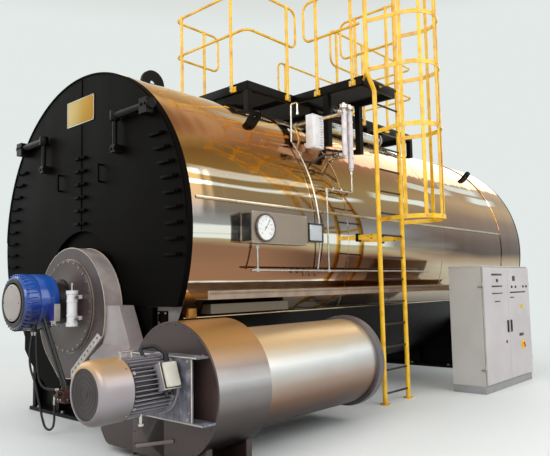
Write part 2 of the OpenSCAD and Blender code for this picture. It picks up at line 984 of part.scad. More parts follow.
// Thin pipes from the gauges down to a header, held off the shell by short clips
module impulse_pipes() {
    color("silver") {
        rod([header_x, dial_y, panel_low], [header_x, dial_y, header_h], pipe_r);
        rod([header_x, panel_y + 90, header_h], [header_x, cabinet_y + 400, header_h], pipe_r + 2);
        rod([header_x, drop_pipe_y, header_h], [header_x, drop_pipe_y, drop_pipe_h], pipe_r);
        for (y = [panel_y + 300, drop_pipe_y + 100, cabinet_y - 600, cabinet_y + 300])
            x_cyl(y, header_h, shell_x(header_h + 6) + seat, header_x, pipe_r - 4);
        for (i = [0 : hook_n - 1])
            rod(hook_at(i), hook_at(i + 1), pipe_r);
        for (i = [1 : hook_n])
            translate(hook_at(i))
                sphere(r = pipe_r + joint_extra);
        rod(hook_at(0), [header_x, hook_y, header_h], pipe_r);
        translate(hook_at(0))
            sphere(r = pipe_r + joint_extra);
        top = hook_at(hook_n) + [10, 0, 0];
        rod(hook_at(hook_n), [top[0], hook_y, hook_top], pipe_r);
        rod([top[0], hook_y, hook_top], [top[0] + hook_reach, hook_y, hook_top], pipe_r + 1);
        rod([top[0] + hook_reach, hook_y, hook_top + pipe_r],
            [top[0] + hook_reach, hook_y, hook_top - 130], pipe_r + 4);
    }
}

module level_box() {
    color("white")
        difference() {
            union() {
                translate(level_box_pos)
                    cube(level_box_size);
                translate(level_box_pos - [120, -70, -30])
                    cube([120, 70, 60]);
            }
            shell_core();
        }
}

// Twin level columns with their top flanges, nozzles to the shell and handwheel valves
module level_columns() {
    color("white")
        difference() {
            union() {
                for (i = [0, 1]) {
                    translate([level_x, level_ys[i], level_lows[i]])
                        cylinder(h = level_top - level_lows[i], r = level_r);
                    translate([level_x, level_ys[i], level_top])
                        cylinder(h = 30, r = stack_r - 4);
                    translate([level_x, level_ys[i], level_top + 30])
                        cylinder(h = 40, r = stack_r - 20);
                }
                for (z = nozzle_hs) {
                    x_cyl(level_ys[0], z, shell_x(z) - 60, level_x, 22);
                    y_cyl(level_x, z, wheel_y, level_ys[0], 16);
                    y_cyl(level_x, z, wheel_y + 60, level_ys[0] - 50, 30);
                    y_cyl(level_x, z, wheel_y, wheel_y + 16, wheel_r);
                }
                for (z = level_ties)
                    y_cyl(level_x, z, level_ys[0], level_ys[1], level_tie_r);
                rod([level_x, level_ys[1], level_lows[1] + 5], [level_x, level_ys[1], drop_pipe_h + 20], pipe_r);
                rod([level_x, level_ys[1] + pipe_r, drop_pipe_h + 20], [level_x, drop_pipe_y + 60, drop_pipe_h + 20], pipe_r + 1);
                rod([level_x, drop_pipe_y + 60, drop_pipe_h + 20], [header_x, drop_pipe_y, drop_pipe_h - 15], pipe_r);
            }
            rod([header_x, drop_pipe_y, header_h], [header_x, drop_pipe_y, drop_pipe_h], pipe_r);
            shell_core();
        }
}

// Steam outlet pipe with its flange
module steam_pipe() {
    color("gainsboro")
        difference() {
            union() {
                y_cyl(steam_x, steam_z, steam_ys[0], steam_ys[1], steam_r);
                y_cyl(steam_x, steam_z, steam_ys[1] - steam_flange_t, steam_ys[1], steam_flange_r);
                y_cyl(steam_x, steam_z, steam_ys[0] + 900, steam_ys[0] + 930, steam_r + 14);
                translate([steam_x, steam_ys[0], steam_z])
                    sphere(r = steam_r + 2);
                rod([steam_x * 0.9, steam_ys[0], axis_h + (steam_z - axis_h) * 0.9], [steam_x, steam_ys[0], steam_z], steam_r);
            }
            y_cyl(steam_x, steam_z, steam_ys[1] - 300, steam_ys[1] + eps, steam_bore_r);
            for (i = [0 : steam_bolt_n - 1]) {
                a = (i + 0.5) * 360 / steam_bolt_n;
                y_cyl(steam_x + steam_pcd / 2 * cos(a), steam_z + steam_pcd / 2 * sin(a),
                    steam_ys[1] - steam_flange_t - eps, steam_ys[1] + eps, steam_bolt_r);
            }
            shell_core();
        }
}

module manhole() {
    color("black")
        difference() {
            union() {
                translate([0, manhole_y, crown_h - 60])
                    cylinder(h = 60 + manhole_rise - 30, r = manhole_r);
                translate([0, manhole_y, crown_h + manhole_rise - 30])
                    cylinder(h = 30, r = manhole_cover_r);
            }
            shell_core();
        }
}

// Cable tray that runs back to the cabinet, with a short trunk below its front end
module cable_tray() {
    color("silver")
        difference() {
            union() {
                box_between([shell_x(tray_low) - 60, tray_y, tray_low], [tray_out, tray_end, tray_low + tray_t]);
                box_between([tray_out - tray_t, tray_y, tray_low], [tray_out, tray_end, tray_low + tray_h]);
                box_between([shell_x(trunk_low) - 60, trunk_y, trunk_low], [trunk_out, trunk_end, trunk_low + trunk_h]);
                box_between([tray_out - eps, cabinet_y + 500, tray_low],
                    [cabinet_x, cabinet_y + 700, tray_low + tray_h]);
            }
            shell_core();
        }
}

// Decks: channels on edge round a grating
module deck(x0, y0, x1, y1) {
    box_between([x0 + web_t, y0 + web_t, deck_h - deck_t], [x1 - web_t, y1 - web_t, deck_h - 2]);
    difference() {
        box_between([x0, y0, deck_under], [x1, y1, deck_h]);
        box_between([x0 + web_t, y0 + web_t, deck_under - eps], [x1 - web_t, y1 - web_t, deck_h + eps]);
    }
    for (y = [y0, y1 - 50])
        box_between([x0, y, deck_under], [x1, y + 50, deck_under + web_t]);
    for (x = [x0, x1 - 50])
        box_between([x, y0, deck_under], [x + 50, y1, deck_under + web_t]);
}

module walkway_deck() {
    color("black")
        deck(-walk_half_w, walk_y, walk_half_w, walk_end);
}

module landing_deck() {
    color("black")
        deck(walk_half_w, landing_y, landing_out, landing_end);
}

module leg(x, y) {
    difference() {
        translate([x - leg_size / 2, y - leg_size / 2, shell_top(abs(x) + leg_size / 2) - 60])
            cube([leg_size, leg_size, deck_under - shell_top(abs(x) + leg_size / 2) + 60]);
        shell_core();
    }
}

module platform_legs() {
    color("black") {
        for (x = [-1, 1])
            for (i = [0 : 3])
                leg(x * (walk_half_w - leg_inset), walk_y + leg_inset + i * (walk_l - 2 * leg_inset) / 3);
        for (y = [landing_y + leg_inset, landing_end - leg_inset])
            leg(1250, y);
    }
}

// Posts that stand on the channel face, drawn with X along the rail and Y up from the deck
module rail_posts(posts) {
    for (p = posts) {
        rod([p, foot_low, 0], [p, rail_h + rail_r, 0], post_r);
        translate([p - foot_w / 3, foot_low, -rail_side])
            cube([foot_w, foot_h, foot_t]);
    }
}

// A flat handrail whose two rails meet in a round loop at the end of its length
module rail_panel(l, posts) {
    bent_tube([[0, rail_h], [l, rail_h], [l, knee_h], [0, knee_h]], rail_r, bend_r);
    rail_posts(posts);
}

// Stands a rail up at p, along direction a; flip puts its feet on the other side
module place_rail(p, a, flip = false) {
    translate([p[0], p[1], deck_h])
        rotate([90, 0, a])
            mirror([0, 0, flip ? 1 : 0])
                children();
}

// The rails across one end of the walkway, bent round its corners into the side rails
module rail_end(y, side, posts) {
    for (h = [rail_top, rail_knee])
        translate([0, y, h])
            bent_tube([
                [-rail_x, side * corner_l], [-rail_x, 0], [rail_x, 0], [rail_x, side * corner_l]
            ], rail_r, bend_r);
    place_rail([0, y], 0, side < 0)
        rail_posts(posts);
}

module rail_front_end() {
    color("gold")
        rail_end(front_rail_y, 1, end_posts);
}

module rail_rear_end() {
    color("gold")
        rail_end(rear_rail_y, -1, end_posts);
}

module rail_front_left() {
    color("gold")
        place_rail([-rail_x, front_rail_y + corner_l], 90, true)
            rail_panel(walk_y + front_left_l - front_rail_y - corner_l, front_left_posts);
}

module rail_front_right() {
    color("gold")
        place_rail([rail_x, front_rail_y + corner_l], 90)
            rail_panel(walk_y + front_right_l - front_rail_y - corner_l, front_right_posts);
}

module rail_rear_left() {
    color("gold")
        place_rail([-rail_x, rear_rail_y - corner_l], 270)
            rail_panel(rear_rail_y - corner_l - walk_y - rear_left_start, rear_left_posts);
}

module rail_rear_right() {
    color("gold")
        place_rail([rail_x, rear_rail_y - corner_l], 270, true)
            rail_panel(rear_rail_y - corner_l - landing_end - 50, rear_right_posts);
}

module landing_rail_front() {
    color("gold")
        place_rail([landing_out - 10, landing_y - rail_side], 180, true)
            rail_panel(landing_out - 10 - walk_half_w - landing_gap, landing_front_posts);
}

module landing_rail_rear() {
    color("gold")
        place_rail([landing_out - 10, landing_end + rail_side], 180)
            rail_panel(landing_out - 10 - walk_half_w - landing_gap, landing_rear_posts);
}

// The near stile steps out towards the front to pass the landing
module near_stile() {
    up = ladder_y - step_out;
    rod([ladder_x, ladder_y, 0], [ladder_x, ladder_y, step_h + step_lap], stile_r);
    rod([ladder_x, ladder_y, step_h], [ladder_x, up, step_h + step_rise], stile_r - 2);
    rod([ladder_x, up, step_h + step_rise - step_lap], [ladder_x, up, rail_top], stile_r);
}

module far_stile() {
    rod([ladder_x, ladder_far, 0], [ladder_x, ladder_far, rail_top], stile_r);
}

// The straight parts of the stiles, cut out of what is welded to them
module stile_slots() {
    for (s = [[ladder_y, 0, step_h - 40], [ladder_y - step_out, tie_h - 60, rail_top], [ladder_far, 0, rail_top]])
        translate([ladder_x, s[0], s[1]])
            cylinder(h = s[2] - s[1], r = stile_r + joint_extra);
}

// Ladder with round stiles on foot plates
module ladder() {
    color("gold") {
        near_stile();
        far_stile();
        for (y = [ladder_y, ladder_far])
            translate([ladder_x, y, 0])
                cylinder(h = foot_plate_t, r = foot_plate_r);
        for (z = [rung_low : rung_pitch : deck_h])
            rod([ladder_x, near_y(z), z], [ladder_x, ladder_far, z], rung_r);
    }
}

// Outline of a cage hoop, from the near stile at y round to the far stile
module hoop_outline(y, inset) {
    intersection() {
        translate([ladder_x + cage_depth - hoop_r, ladder_mid])
            circle(r = hoop_r - inset);
        translate([ladder_x + cage_depth - hoop_r - 10, ladder_mid - hoop_r])
            square(2 * hoop_r);
    }
    polygon([
        [ladder_x + stile_r / 2, y + inset],
        [ladder_x + cage_depth - hoop_r, ladder_mid - hoop_r + inset],
        [ladder_x + cage_depth - hoop_r, ladder_mid + hoop_r - inset],
        [ladder_x + stile_r / 2, ladder_far - inset]
    ]);
}

module ladder_cage() {
    color("gold")
        difference() {
            union() {
                for (z = hoop_hs)
                    translate([0, 0, z - hoop_w / 2])
                        linear_extrude(hoop_w)
                            difference() {
                                hoop_outline(near_y(z), 0);
                                hoop_outline(near_y(z), hoop_t);
                            }
                for (a = bar_angles)
                    translate([ladder_x + cage_depth - hoop_r, ladder_mid, cage_low])
                        rotate([0, 0, a])
                            translate([hoop_r - 2 * hoop_t, -bar_w / 2, 0])
                                cube([hoop_t + 2, bar_w, hoop_hs[4] + hoop_w / 2 - cage_low]);
            }
            stile_slots();
        }
}

// Stand-off brackets from the shell to the stiles, and ties from the landing to their upper part
module ladder_brackets() {
    color("gold")
        difference() {
            union() {
                for (y = [ladder_y, ladder_far])
                    box_between([shell_x(axis_h) - 80, y - 20, axis_h - 30], [ladder_x, y + 20, axis_h + 30]);
                rod([landing_out - 60, landing_y + 90, tie_h], [ladder_x, ladder_y - step_out, tie_h], tie_r);
                rod([landing_out - 60, ladder_far, tie_h], [ladder_x, ladder_far, tie_h], tie_r);
            }
            shell_core();
            box_between([0, landing_y, deck_under - eps], [landing_out, landing_end, deck_h + eps]);
            stile_slots();
        }
}

// Control cabinet with an open front, on a plinth
module cabinet_body() {
    color("lightgray") {
        difference() {
            box_between([cabinet_x, cabinet_y, plinth_h], [cabinet_x + carcass_d, cabinet_y + cabinet_w, cabinet_h]);
            box_between(
                [cabinet_x + cabinet_t, cabinet_y + cabinet_t, plinth_h + cabinet_t],
                [cabinet_x + carcass_d + eps, cabinet_y + cabinet_w - cabinet_t, cabinet_h - cabinet_t]
            );
        }
        box_between([cabinet_x, cabinet_y, 0], [cabinet_x + carcass_d, cabinet_y + cabinet_w, plinth_h]);
    }
}

// Swaps the near and far sides of the cabinet
module far_side() {
    translate([0, 2 * cabinet_y + cabinet_w, 0])
        mirror([0, 1, 0])
            children();
}

hinge_x = cabinet_front - leaf_t / 2;
hinge_y = cabinet_y - hinge_out;

module hinge_pins() {
    for (z = hinge_hs) {
        box_between([cabinet_front - leaf_t - 50, cabinet_y - 2 * hinge_out, z - lug_h], [hinge_x + hinge_out, cabinet_y, z]);
        translate([hinge_x, hinge_y, z - 2])
            cylinder(h = knuckle_h + 2, r = pin_r);
    }
}

module cabinet_hinges() {
    color("silver") {
        hinge_pins();
        far_side()
            hinge_pins();
    }
}

module cabinet_leaf() {
    difference() {
        union() {
            box_between(
                [cabinet_front - leaf_t, cabinet_y + leaf_side, leaf_low],
                [cabinet_front, cabinet_y + (cabinet_w - leaf_gap) / 2, leaf_low + leaf_h]
            );
            for (z = hinge_hs) {
                translate([hinge_x, hinge_y, z + pin_gap])
                    cylinder(h = knuckle_h, r = knuckle_r);
                box_between(
                    [hinge_x - 5, hinge_y, z + pin_gap],
                    [hinge_x + 5, cabinet_y + leaf_side + 4, z + pin_gap + knuckle_h]
                );
            }
        }
        for (z = hinge_hs)
            translate([hinge_x, hinge_y, z - eps])
                cylinder(h = knuckle_h + 2 * eps + 5, r = pin_r + pin_gap);
    }
}

module cabinet_door_near() {
    color("gainsboro")
        cabinet_leaf();
}

module cabinet_door_far() {
    color("gainsboro")
        far_side()
            cabinet_leaf();
}

// Rotary main switch on the far door
module main_switch() {
    color("gold")
        x_cyl(cabinet_y + cabinet_w - 330, 520, cabinet_front, cabinet_front + 30, 35);
}

shell_cladding();
front_end_plate();
rear_end_plate();
flue_outlet();
smokebox_door_left();
smokebox_door_right();
lower_front_plate();
door_clamps();
davit_arms();
lifting_lugs();
front_saddle();
rear_saddle();
burner_volute();
volute_cover();
burner_motor();
burner_servo();
filter_cylinder();
fuel_block();
hose_long();
hose_short();
air_duct();
fan_housing();
fan_front_disc();
motor_stool();
fan_motor_body();
fan_motor_cowl();
terminal_box();
inlet_silencer();
silencer_ring();
fan_base();
gauge_panel();
gauge_dial();
impulse_pipes();
level_box();
level_columns();
steam_pipe();
manhole();
cable_tray();
walkway_deck();
landing_deck();
platform_legs();
rail_front_end();
rail_front_left();
rail_front_right();
rail_rear_left();
rail_rear_end();
rail_rear_right();
landing_rail_front();
landing_rail_rear();
ladder();
ladder_cage();
ladder_brackets();
cabinet_body();
cabinet_hinges();
cabinet_door_near();
cabinet_door_far();
main_switch();
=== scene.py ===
# Industrial fire-tube boiler, dressed in the order in which it is put together: hoses, shell,
# front, burner, air fan, gauges and pipes, walkways, ladder and control cabinet.
# Metres throughout, +X to the right of the front, +Y back along the shell, +Z up.
import math
from itertools import product

import bmesh
import bpy
from mathutils import Matrix, Vector


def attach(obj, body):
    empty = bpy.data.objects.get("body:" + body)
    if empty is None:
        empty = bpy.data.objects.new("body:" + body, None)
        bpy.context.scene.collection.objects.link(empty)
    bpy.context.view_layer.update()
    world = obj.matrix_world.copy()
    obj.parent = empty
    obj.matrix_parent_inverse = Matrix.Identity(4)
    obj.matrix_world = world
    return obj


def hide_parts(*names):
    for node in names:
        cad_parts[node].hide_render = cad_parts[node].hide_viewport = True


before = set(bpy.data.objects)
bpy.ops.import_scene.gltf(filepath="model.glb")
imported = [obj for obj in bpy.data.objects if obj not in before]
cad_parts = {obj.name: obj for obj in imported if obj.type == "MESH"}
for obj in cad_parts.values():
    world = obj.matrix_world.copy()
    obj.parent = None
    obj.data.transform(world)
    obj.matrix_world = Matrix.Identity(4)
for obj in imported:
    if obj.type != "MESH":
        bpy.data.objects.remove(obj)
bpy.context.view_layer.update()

# Camera: a photographer stands ahead of the front, to its right, at eye height, and looks a
# little up along the shell.
camera = bpy.data.objects.new("camera", bpy.data.cameras.new("camera"))
bpy.context.scene.collection.objects.link(camera)
camera.data.sensor_width, camera.data.lens, camera.data.clip_end = 36, 39.62, 200
camera.data.shift_x, camera.data.shift_y = -0.01153, 0.01205
yaw, pitch, roll = (math.radians(a) for a in (41.62, 4.89, -1.254))
camera.matrix_world = (
    Matrix.Translation((5.9934, -3.5221, 1.3945))
    @ Matrix.Rotation(yaw, 4, "Z")
    @ Matrix.Rotation(math.pi / 2 + pitch, 4, "X")
    @ Matrix.Rotation(roll, 4, "Z")
)
bpy.context.scene.camera = camera
bpy.context.scene.view_settings.view_transform = "Standard"

# Burner hoses: two black rubber hoses that leave the gland under the burner motor, hang down
# and go into the fuel block. A material is mixed with Mix, and maths on its values is written
# with Wire. Parts gather in one shape until piece() makes an object of them.
RIGHT, BACK, UP = (1, 0, 0), (0, 1, 0), (0, 0, 1)
LEFT, AHEAD, DOWN = (-1, 0, 0), (0, -1, 0), (0, 0, -1)
shape = bmesh.new()


class Wire:
    """One value of a material; sums, products and comparisons of wires add Math nodes."""

    def __init__(self, mix, socket):
        self.mix, self.socket = mix, socket

    def math(self, operation, first, second):
        return self.mix.node("ShaderNodeMath", {0: first, 1: second}, operation=operation)

    def __add__(self, other):
        return self.math("ADD", self, other)

    def __sub__(self, other):
        return self.math("SUBTRACT", self, other)

    def __rsub__(self, other):
        return self.math("SUBTRACT", other, self)

    def __mul__(self, other):
        return self.math("MULTIPLY", self, other)

    def __gt__(self, other):
        return self.math("GREATER_THAN", self, other)

    def __lt__(self, other):
        return self.math("LESS_THAN", self, other)

    def maximum(self, other):
        return self.math("MAXIMUM", self, other)

    __radd__, __rmul__ = __add__, __mul__


def colour(red, green, blue):
    """A colour as it looks on a screen, 0 to 255, turned into the linear one that Blender takes."""
    return (*((c / 255) ** 2.2 for c in (red, green, blue)), 1)


class Mix:
    """Mixes a new material of that name on its Principled shader, or the nodes of a world."""

    def __init__(self, owner):
        self.owner = bpy.data.materials.new(owner) if isinstance(owner, str) else owner
        self.owner.use_nodes = True
        self.tree = self.owner.node_tree
        self.shader = self.tree.nodes.get("Principled BSDF")

    def node(self, kind, sockets=None, out=0, stops=(), **settings):
        made = self.tree.nodes.new(kind)
        for key, value in settings.items():
            setattr(made, key, value)
        for number, (at, shade) in enumerate(stops):
            steps = made.color_ramp.elements
            step = steps[number] if number < 2 else steps.new(at)
            step.position, step.color = at, shade
        for key, value in (sockets or {}).items():
            self.plug(made.inputs[key], value)
        return Wire(self, made.outputs[out])

    def plug(self, socket, value):
        if isinstance(value, Wire):
            self.tree.links.new(value.socket, socket)
        else:
            socket.default_value = value

    def place(self):
        return self.node("ShaderNodeTexCoord", out="Object")

    def axis(self, letter):
        return self.node("ShaderNodeSeparateXYZ", {0: self.place()}, out=letter)

    def noise(self, scale, detail=3, stretch=(1, 1, 1)):
        moved = self.node("ShaderNodeMapping", {"Vector": self.place(), "Scale": stretch})
        return self.node("ShaderNodeTexNoise", {"Vector": moved, "Scale": scale, "Detail": detail})

    def between(self, share, first, second):
        return self.node("ShaderNodeMix", {0: share, 6: first, 7: second}, out=2, data_type="RGBA")

    def rise(self, value, low, high):
        """Goes from 0 to 1 while the value goes from low to high."""
        return self.node("ShaderNodeMapRange", {"Value": value, "From Min": low, "From Max": high})

    def ramp(self, value, *stops):
        """Each stop is a place on the ramp and a screen colour."""
        stops = [(at, colour(*shade)) for at, *shade in stops]
        return self.node("ShaderNodeValToRGB", {0: value}, stops=stops)

    def tones(self, cloud, dark, pale):
        return self.ramp(cloud, (0.3, *dark), (0.7, *pale))

    def finish(self, skin=None, depth=0.0, **sockets):
        """Fills the shader's sockets, roughens the skin by a depth and gives the material."""
        if skin:
            bump = {"Height": skin, "Distance": depth, "Strength": 1.0}
            sockets["Normal"] = self.node("ShaderNodeBump", bump)
        for key, value in sockets.items():
            self.plug(self.shader.inputs[key.replace("_", " ")], value)
        return self.owner


def coat(name, shade, roughness, metallic=0.0, mottle=0.12, scale=6.0, clear=0.0):
    """A painted or bare finish: its colour clouds a little, and its skin has a fine grain."""
    mix = Mix(name)
    clouds, fine = mix.noise(scale, 4), mix.noise(scale * 22, 2)
    dark = (*(c * (1 - 2 * mottle) for c in colour(*shade)[:3]), 1)
    pale = (*(min(1, c * (1 + mottle)) for c in colour(*shade)[:3]), 1)
    tone = {0: clouds * 0.7 + fine * 0.3}
    return mix.finish(
        fine, 0.0004,
        Base_Color=mix.node("ShaderNodeValToRGB", tone, stops=((0.32, dark), (0.68, pale))),
        Roughness=(clouds - 0.5) * 0.25 + (fine - 0.5) * 0.15 + roughness,
        Metallic=metallic, Coat_Weight=clear,
    )


hose_rubber = coat("hose_rubber", (28, 27, 28), 0.5, mottle=0.2, scale=40)
zinc = coat("zinc_plating", (178, 176, 170), 0.35, 1.0, scale=30)


def add_part(part):
    """Puts one finished closed part into the shape."""
    bmesh.ops.recalc_face_normals(part, faces=part.faces)
    loose = bpy.data.meshes.new("part")
    part.to_mesh(loose)
    part.free()
    shape.from_mesh(loose)
    bpy.data.meshes.remove(loose)


def aim(at, axis):
    """The place of a part that is turned or bored along an axis."""
    turn = Vector(axis).to_track_quat("Z", "Y").to_matrix().to_4x4()
    return Matrix.Translation(at) @ turn


def lathe(at, axis, profile, steps=48):
    """Turns a profile of (radius, distance along the axis) about the axis."""
    part = bmesh.new()
    place = aim(at, axis)
    line = [part.verts.new(place @ Vector((radius, 0, along))) for radius, along in profile]
    edges = [part.edges.new(pair) for pair in zip(line, line[1:])]
    bmesh.ops.spin(
        part, geom=line + edges, cent=place.translation, axis=place.col[2].xyz,
        angle=2 * math.pi, steps=steps, use_merge=True,
    )
    bmesh.ops.remove_doubles(part, verts=part.verts, dist=1e-5)
    add_part(part)


def add_object(name, data):
    made = bpy.data.objects.new(name, data)
    bpy.context.scene.collection.objects.link(made)
    return made


def piece(name, material, body="boiler", replaces=(), crease=32):
    """Makes a piece of the shape: rounded faces are smooth, corners stay sharp. It rides on its body."""
    for face in shape.faces:
        face.smooth = True
    for edge in shape.edges:
        edge.smooth = len(edge.link_faces) == 2 and edge.calc_face_angle(0) < math.radians(crease)
    mesh = bpy.data.meshes.new(name)
    shape.to_mesh(mesh)
    shape.clear()
    mesh.materials.append(material)
    made = add_object(name, mesh)
    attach(made, body)
    if replaces:
        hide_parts(*replaces)
    return made


hose_radius = 0.011
gland_base, tee_y, tee_z, branch_z = 1.0, -0.53, 0.38, 0.445
hose_routes = {
    "hose_long": (
        (0.128, -0.655, gland_base), (0.128, -0.655, 0.988), (0.126, -0.656, 0.97),
        (0.112, -0.656, 0.93), (0.086, -0.654, 0.85), (0.066, -0.65, 0.76), (0.064, -0.645, 0.68),
        (0.084, -0.64, 0.61), (0.124, -0.634, 0.54), (0.162, -0.626, 0.45), (0.193, -0.617, 0.34),
        (0.223, -0.607, 0.23), (0.248, -0.596, 0.14), (0.274, -0.582, 0.08), (0.304, -0.562, 0.062),
        (0.33, -0.544, 0.08), (0.341, -0.534, 0.13), (0.343, -0.531, 0.2), (0.342, -0.53, 0.27),
        (0.342, tee_y, tee_z - 0.05),
    ),
    "hose_short": (
        (0.156, -0.64, gland_base), (0.156, -0.64, 0.988), (0.159, -0.633, 0.97),
        (0.158, -0.628, 0.92), (0.154, -0.624, 0.84), (0.149, -0.618, 0.76), (0.145, -0.61, 0.68),
        (0.143, -0.602, 0.61), (0.146, -0.594, 0.55), (0.162, -0.585, 0.498), (0.2, -0.573, 0.462),
        (0.25, -0.56, 0.448), (0.3, -0.548, 0.445), (0.35, -0.537, 0.445), (0.375, tee_y, branch_z),
        (0.402, tee_y, branch_z),
    ),
}
for node, route in hose_routes.items():
    name = node + "_rubber"
    line = bpy.data.curves.new(name, "CURVE")
    line.dimensions = "3D"
    line.bevel_depth, line.bevel_resolution, line.resolution_u = hose_radius, 4, 6
    line.use_fill_caps = True
    spline = line.splines.new("BEZIER")
    spline.bezier_points.add(len(route) - 1)
    for point, place in zip(spline.bezier_points, route):
        point.co = place
        point.handle_left_type = point.handle_right_type = "AUTO"
    line.materials.append(hose_rubber)
    hose = add_object(name, line)
    for near, far in ((route[0], route[1]), (route[-1], route[-2])):
        lathe(near, (Vector(far) - Vector(near)).normalized(), (
            (0, 0.0005), (0.015, 0.0005), (0.015, 0.012), (0.0135, 0.014), (0.0135, 0.03),
            (0.0125, 0.034), (0, 0.034)), 20)
    ends = piece(name + "_ferrules", zinc)
    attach(hose, "boiler")
    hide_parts(node)
    length = sum((Vector(b) - Vector(a)).length for a, b in zip(route, route[1:]))
    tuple(route[0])

# Shell cladding: sheets of mirror-polished stainless steel rolled round the lagging, lapped
# with swaged joints and pop rivets. The lower belly below a drip edge is black. Above it the
# sheets' colour is painted reflection, in bands by height.
shell_radius, shell_axis, wall = 1.8, 1.967, 0.12
end_plate, shell_end, seam_start = 0.05, 7.94, 7.03
drip_low, drip_high = 1.116, 1.13


def shell_x(height):
    return math.sqrt(shell_radius**2 - (height - shell_axis) ** 2)


def upright(angle, radius=1.0):
    """The way that an angle points in the plane of the front, from +X towards +Z."""
    return Vector((radius * math.cos(angle), 0, radius * math.sin(angle)))


def ring(inner, outer, low, high):
    """The profile of a flat ring."""
    return (inner, low), (outer, low), (outer, high), (inner, high), (inner, low)


def rod(start, end, radius, sides=16, end_radius=None):
    """A round bar, or a hexagon with six sides."""
    start, end = Vector(start), Vector(end)
    part = bmesh.new()
    bmesh.ops.create_cone(
        part, cap_ends=True, segments=sides, radius1=radius,
        radius2=radius if end_radius is None else end_radius,
        depth=(end - start).length, matrix=aim((start + end) / 2, end - start),
    )
    add_part(part)


def pins(places, along, *form):
    """The same rod at each place."""
    for place in places:
        rod(place, Vector(place) + Vector(along), *form)


def block(low, high, bevel=0.0, turn=None, segments=2, within=None):
    """A rectangular part between two corners, with its edges eased by bevel."""
    part = bmesh.new()
    low, high = Vector(low), Vector(high)
    bmesh.ops.create_cube(part, size=1)
    bmesh.ops.scale(part, vec=high - low, verts=part.verts)
    if bevel:
        bmesh.ops.bevel(
            part, geom=part.edges, offset=bevel, offset_type="OFFSET", segments=segments,
            profile=0.5, affect="EDGES", clamp_overlap=True, material=-1,
        )
    place = (within or Matrix()) @ Matrix.Translation((low + high) / 2) @ (turn or Matrix())
    bmesh.ops.transform(part, matrix=place, verts=part.verts)
    add_part(part)


mix = Mix("polished_cladding")
height, spread = mix.axis("Z"), mix.axis("Y")
streaks, ripple = mix.noise(1, 5, (0.5, 0.22, 2.6)), mix.noise(1, 2, (0.9, 0.5, 0.9))
wavy = height + (streaks - 0.5) * 0.22 + (ripple - 0.5) * 0.16
level = wavy * (1 / 3.8)
# The colour is painted reflection. Tones by height stand in for what the mirror sheet reflects: golden near
# the top, pale and dark bands lower down, and other tones towards the back.
painted_reflections_ahead = mix.ramp(
    level, (0.30, 84, 76, 66), (0.328, 96, 84, 70), (0.345, 204, 158, 98), (0.38, 158, 114, 84),
    (0.455, 154, 110, 84), (0.476, 198, 180, 138), (0.515, 168, 164, 160), (0.56, 130, 121, 115),
    (0.60, 150, 122, 88), (0.67, 172, 140, 82), (0.74, 170, 132, 80), (0.78, 190, 136, 98),
    (0.842, 208, 154, 100), (0.87, 240, 190, 104), (0.985, 248, 218, 152))
painted_reflections_behind = mix.ramp(
    level, (0.30, 140, 130, 120), (0.37, 196, 180, 152), (0.44, 204, 186, 158), (0.475, 170, 138, 110),
    (0.50, 84, 64, 54), (0.55, 104, 80, 66), (0.58, 124, 100, 88), (0.64, 142, 108, 84),
    (0.70, 196, 152, 96), (0.76, 180, 132, 84), (0.83, 214, 166, 98), (0.985, 238, 214, 170))
painted_reflection_tone = mix.between(mix.rise(spread + (streaks - 0.5) * 5.0, 3.4, 5.2), painted_reflections_ahead, painted_reflections_behind)


def window(value, low, high, soft):
    """One between two values and nothing outside them, with a soft step at both."""
    return mix.rise(value, low - soft, low) * mix.rise(value, high + soft, high)


along = spread + (ripple - 0.5) * 0.6
# A painted dark reflection band along the middle of the shell.
painted_dark_band = window(wavy, 1.5, 1.7, 0.06) * window(along, 1.6, 3.0, 0.7)
painted_reflection_tone = mix.between(painted_dark_band * 0.55, painted_reflection_tone, colour(66, 40, 30))
# Narrow near-white bands are painted highlights, where lamps would glint on the sheet.
painted_highlight = 0.0
for low, high, start, stop in (
    (1.34, 1.42, -1.0, 1.9), (1.81, 1.85, -1.0, 0.6), (1.87, 1.94, -1.0, 0.6), (1.88, 1.98, 1.8, 3.0),
    (2.365, 2.38, -1.0, 2.4), (2.475, 2.53, 0.2, 1.7), (2.48, 2.56, 3.2, 4.4), (2.78, 2.88, 4.3, 5.3),
    (2.92, 3.0, 5.6, 6.5), (2.76, 2.86, 6.4, 7.0), (3.3, 3.37, 1.0, 1.9),
):
    painted_highlight = (window(wavy, low, high, 0.02) * window(along, start, stop, 0.35)).maximum(painted_highlight)
painted_reflection_tone = mix.between(painted_highlight, painted_reflection_tone, colour(255, 252, 240))
below = height < drip_low + 0.004
polished = mix.finish(
    ripple + mix.noise(1, 2, (0.35, 2.2, 0.35)) * 0.5, 0.014,
    Base_Color=mix.between(below, painted_reflection_tone, colour(12, 11, 11)), Metallic=1.0 - below,
    Specular_IOR_Level=0.2, Roughness=below * 0.38 + (mix.noise(60, 2) * 0.03 + 0.06),
)

sheet_joints = (2.4, 4.8)
profile = [
    (shell_radius - wall, end_plate), (shell_radius - 0.004, end_plate),
    (shell_radius, end_plate + 0.004), (shell_radius, end_plate + 0.007),
]
for start, raised, width in (*((joint, 0.002, 0.024) for joint in sheet_joints), (seam_start, 0.012, 0.04)):
    profile += [(shell_radius + out, start + on) for out, on in (
        (0, -0.003), (0, 0), (raised, 0.004), (raised, width - 0.004), (0, width), (0, width + 0.003))]
profile += [
    (shell_radius, shell_end - end_plate - 0.003), (shell_radius, shell_end - end_plate),
    (shell_radius - wall, shell_end - end_plate), (shell_radius - wall, end_plate),
]
lathe((0, 0, shell_axis), BACK, profile, 256)
lathe((0, 0, shell_axis), BACK,
      ring(shell_radius + 0.0005, shell_radius + 0.003, 0.002, end_plate + 0.004), 256)
piece("cladding_sheets", polished, replaces=["shell_cladding"], crease=50)

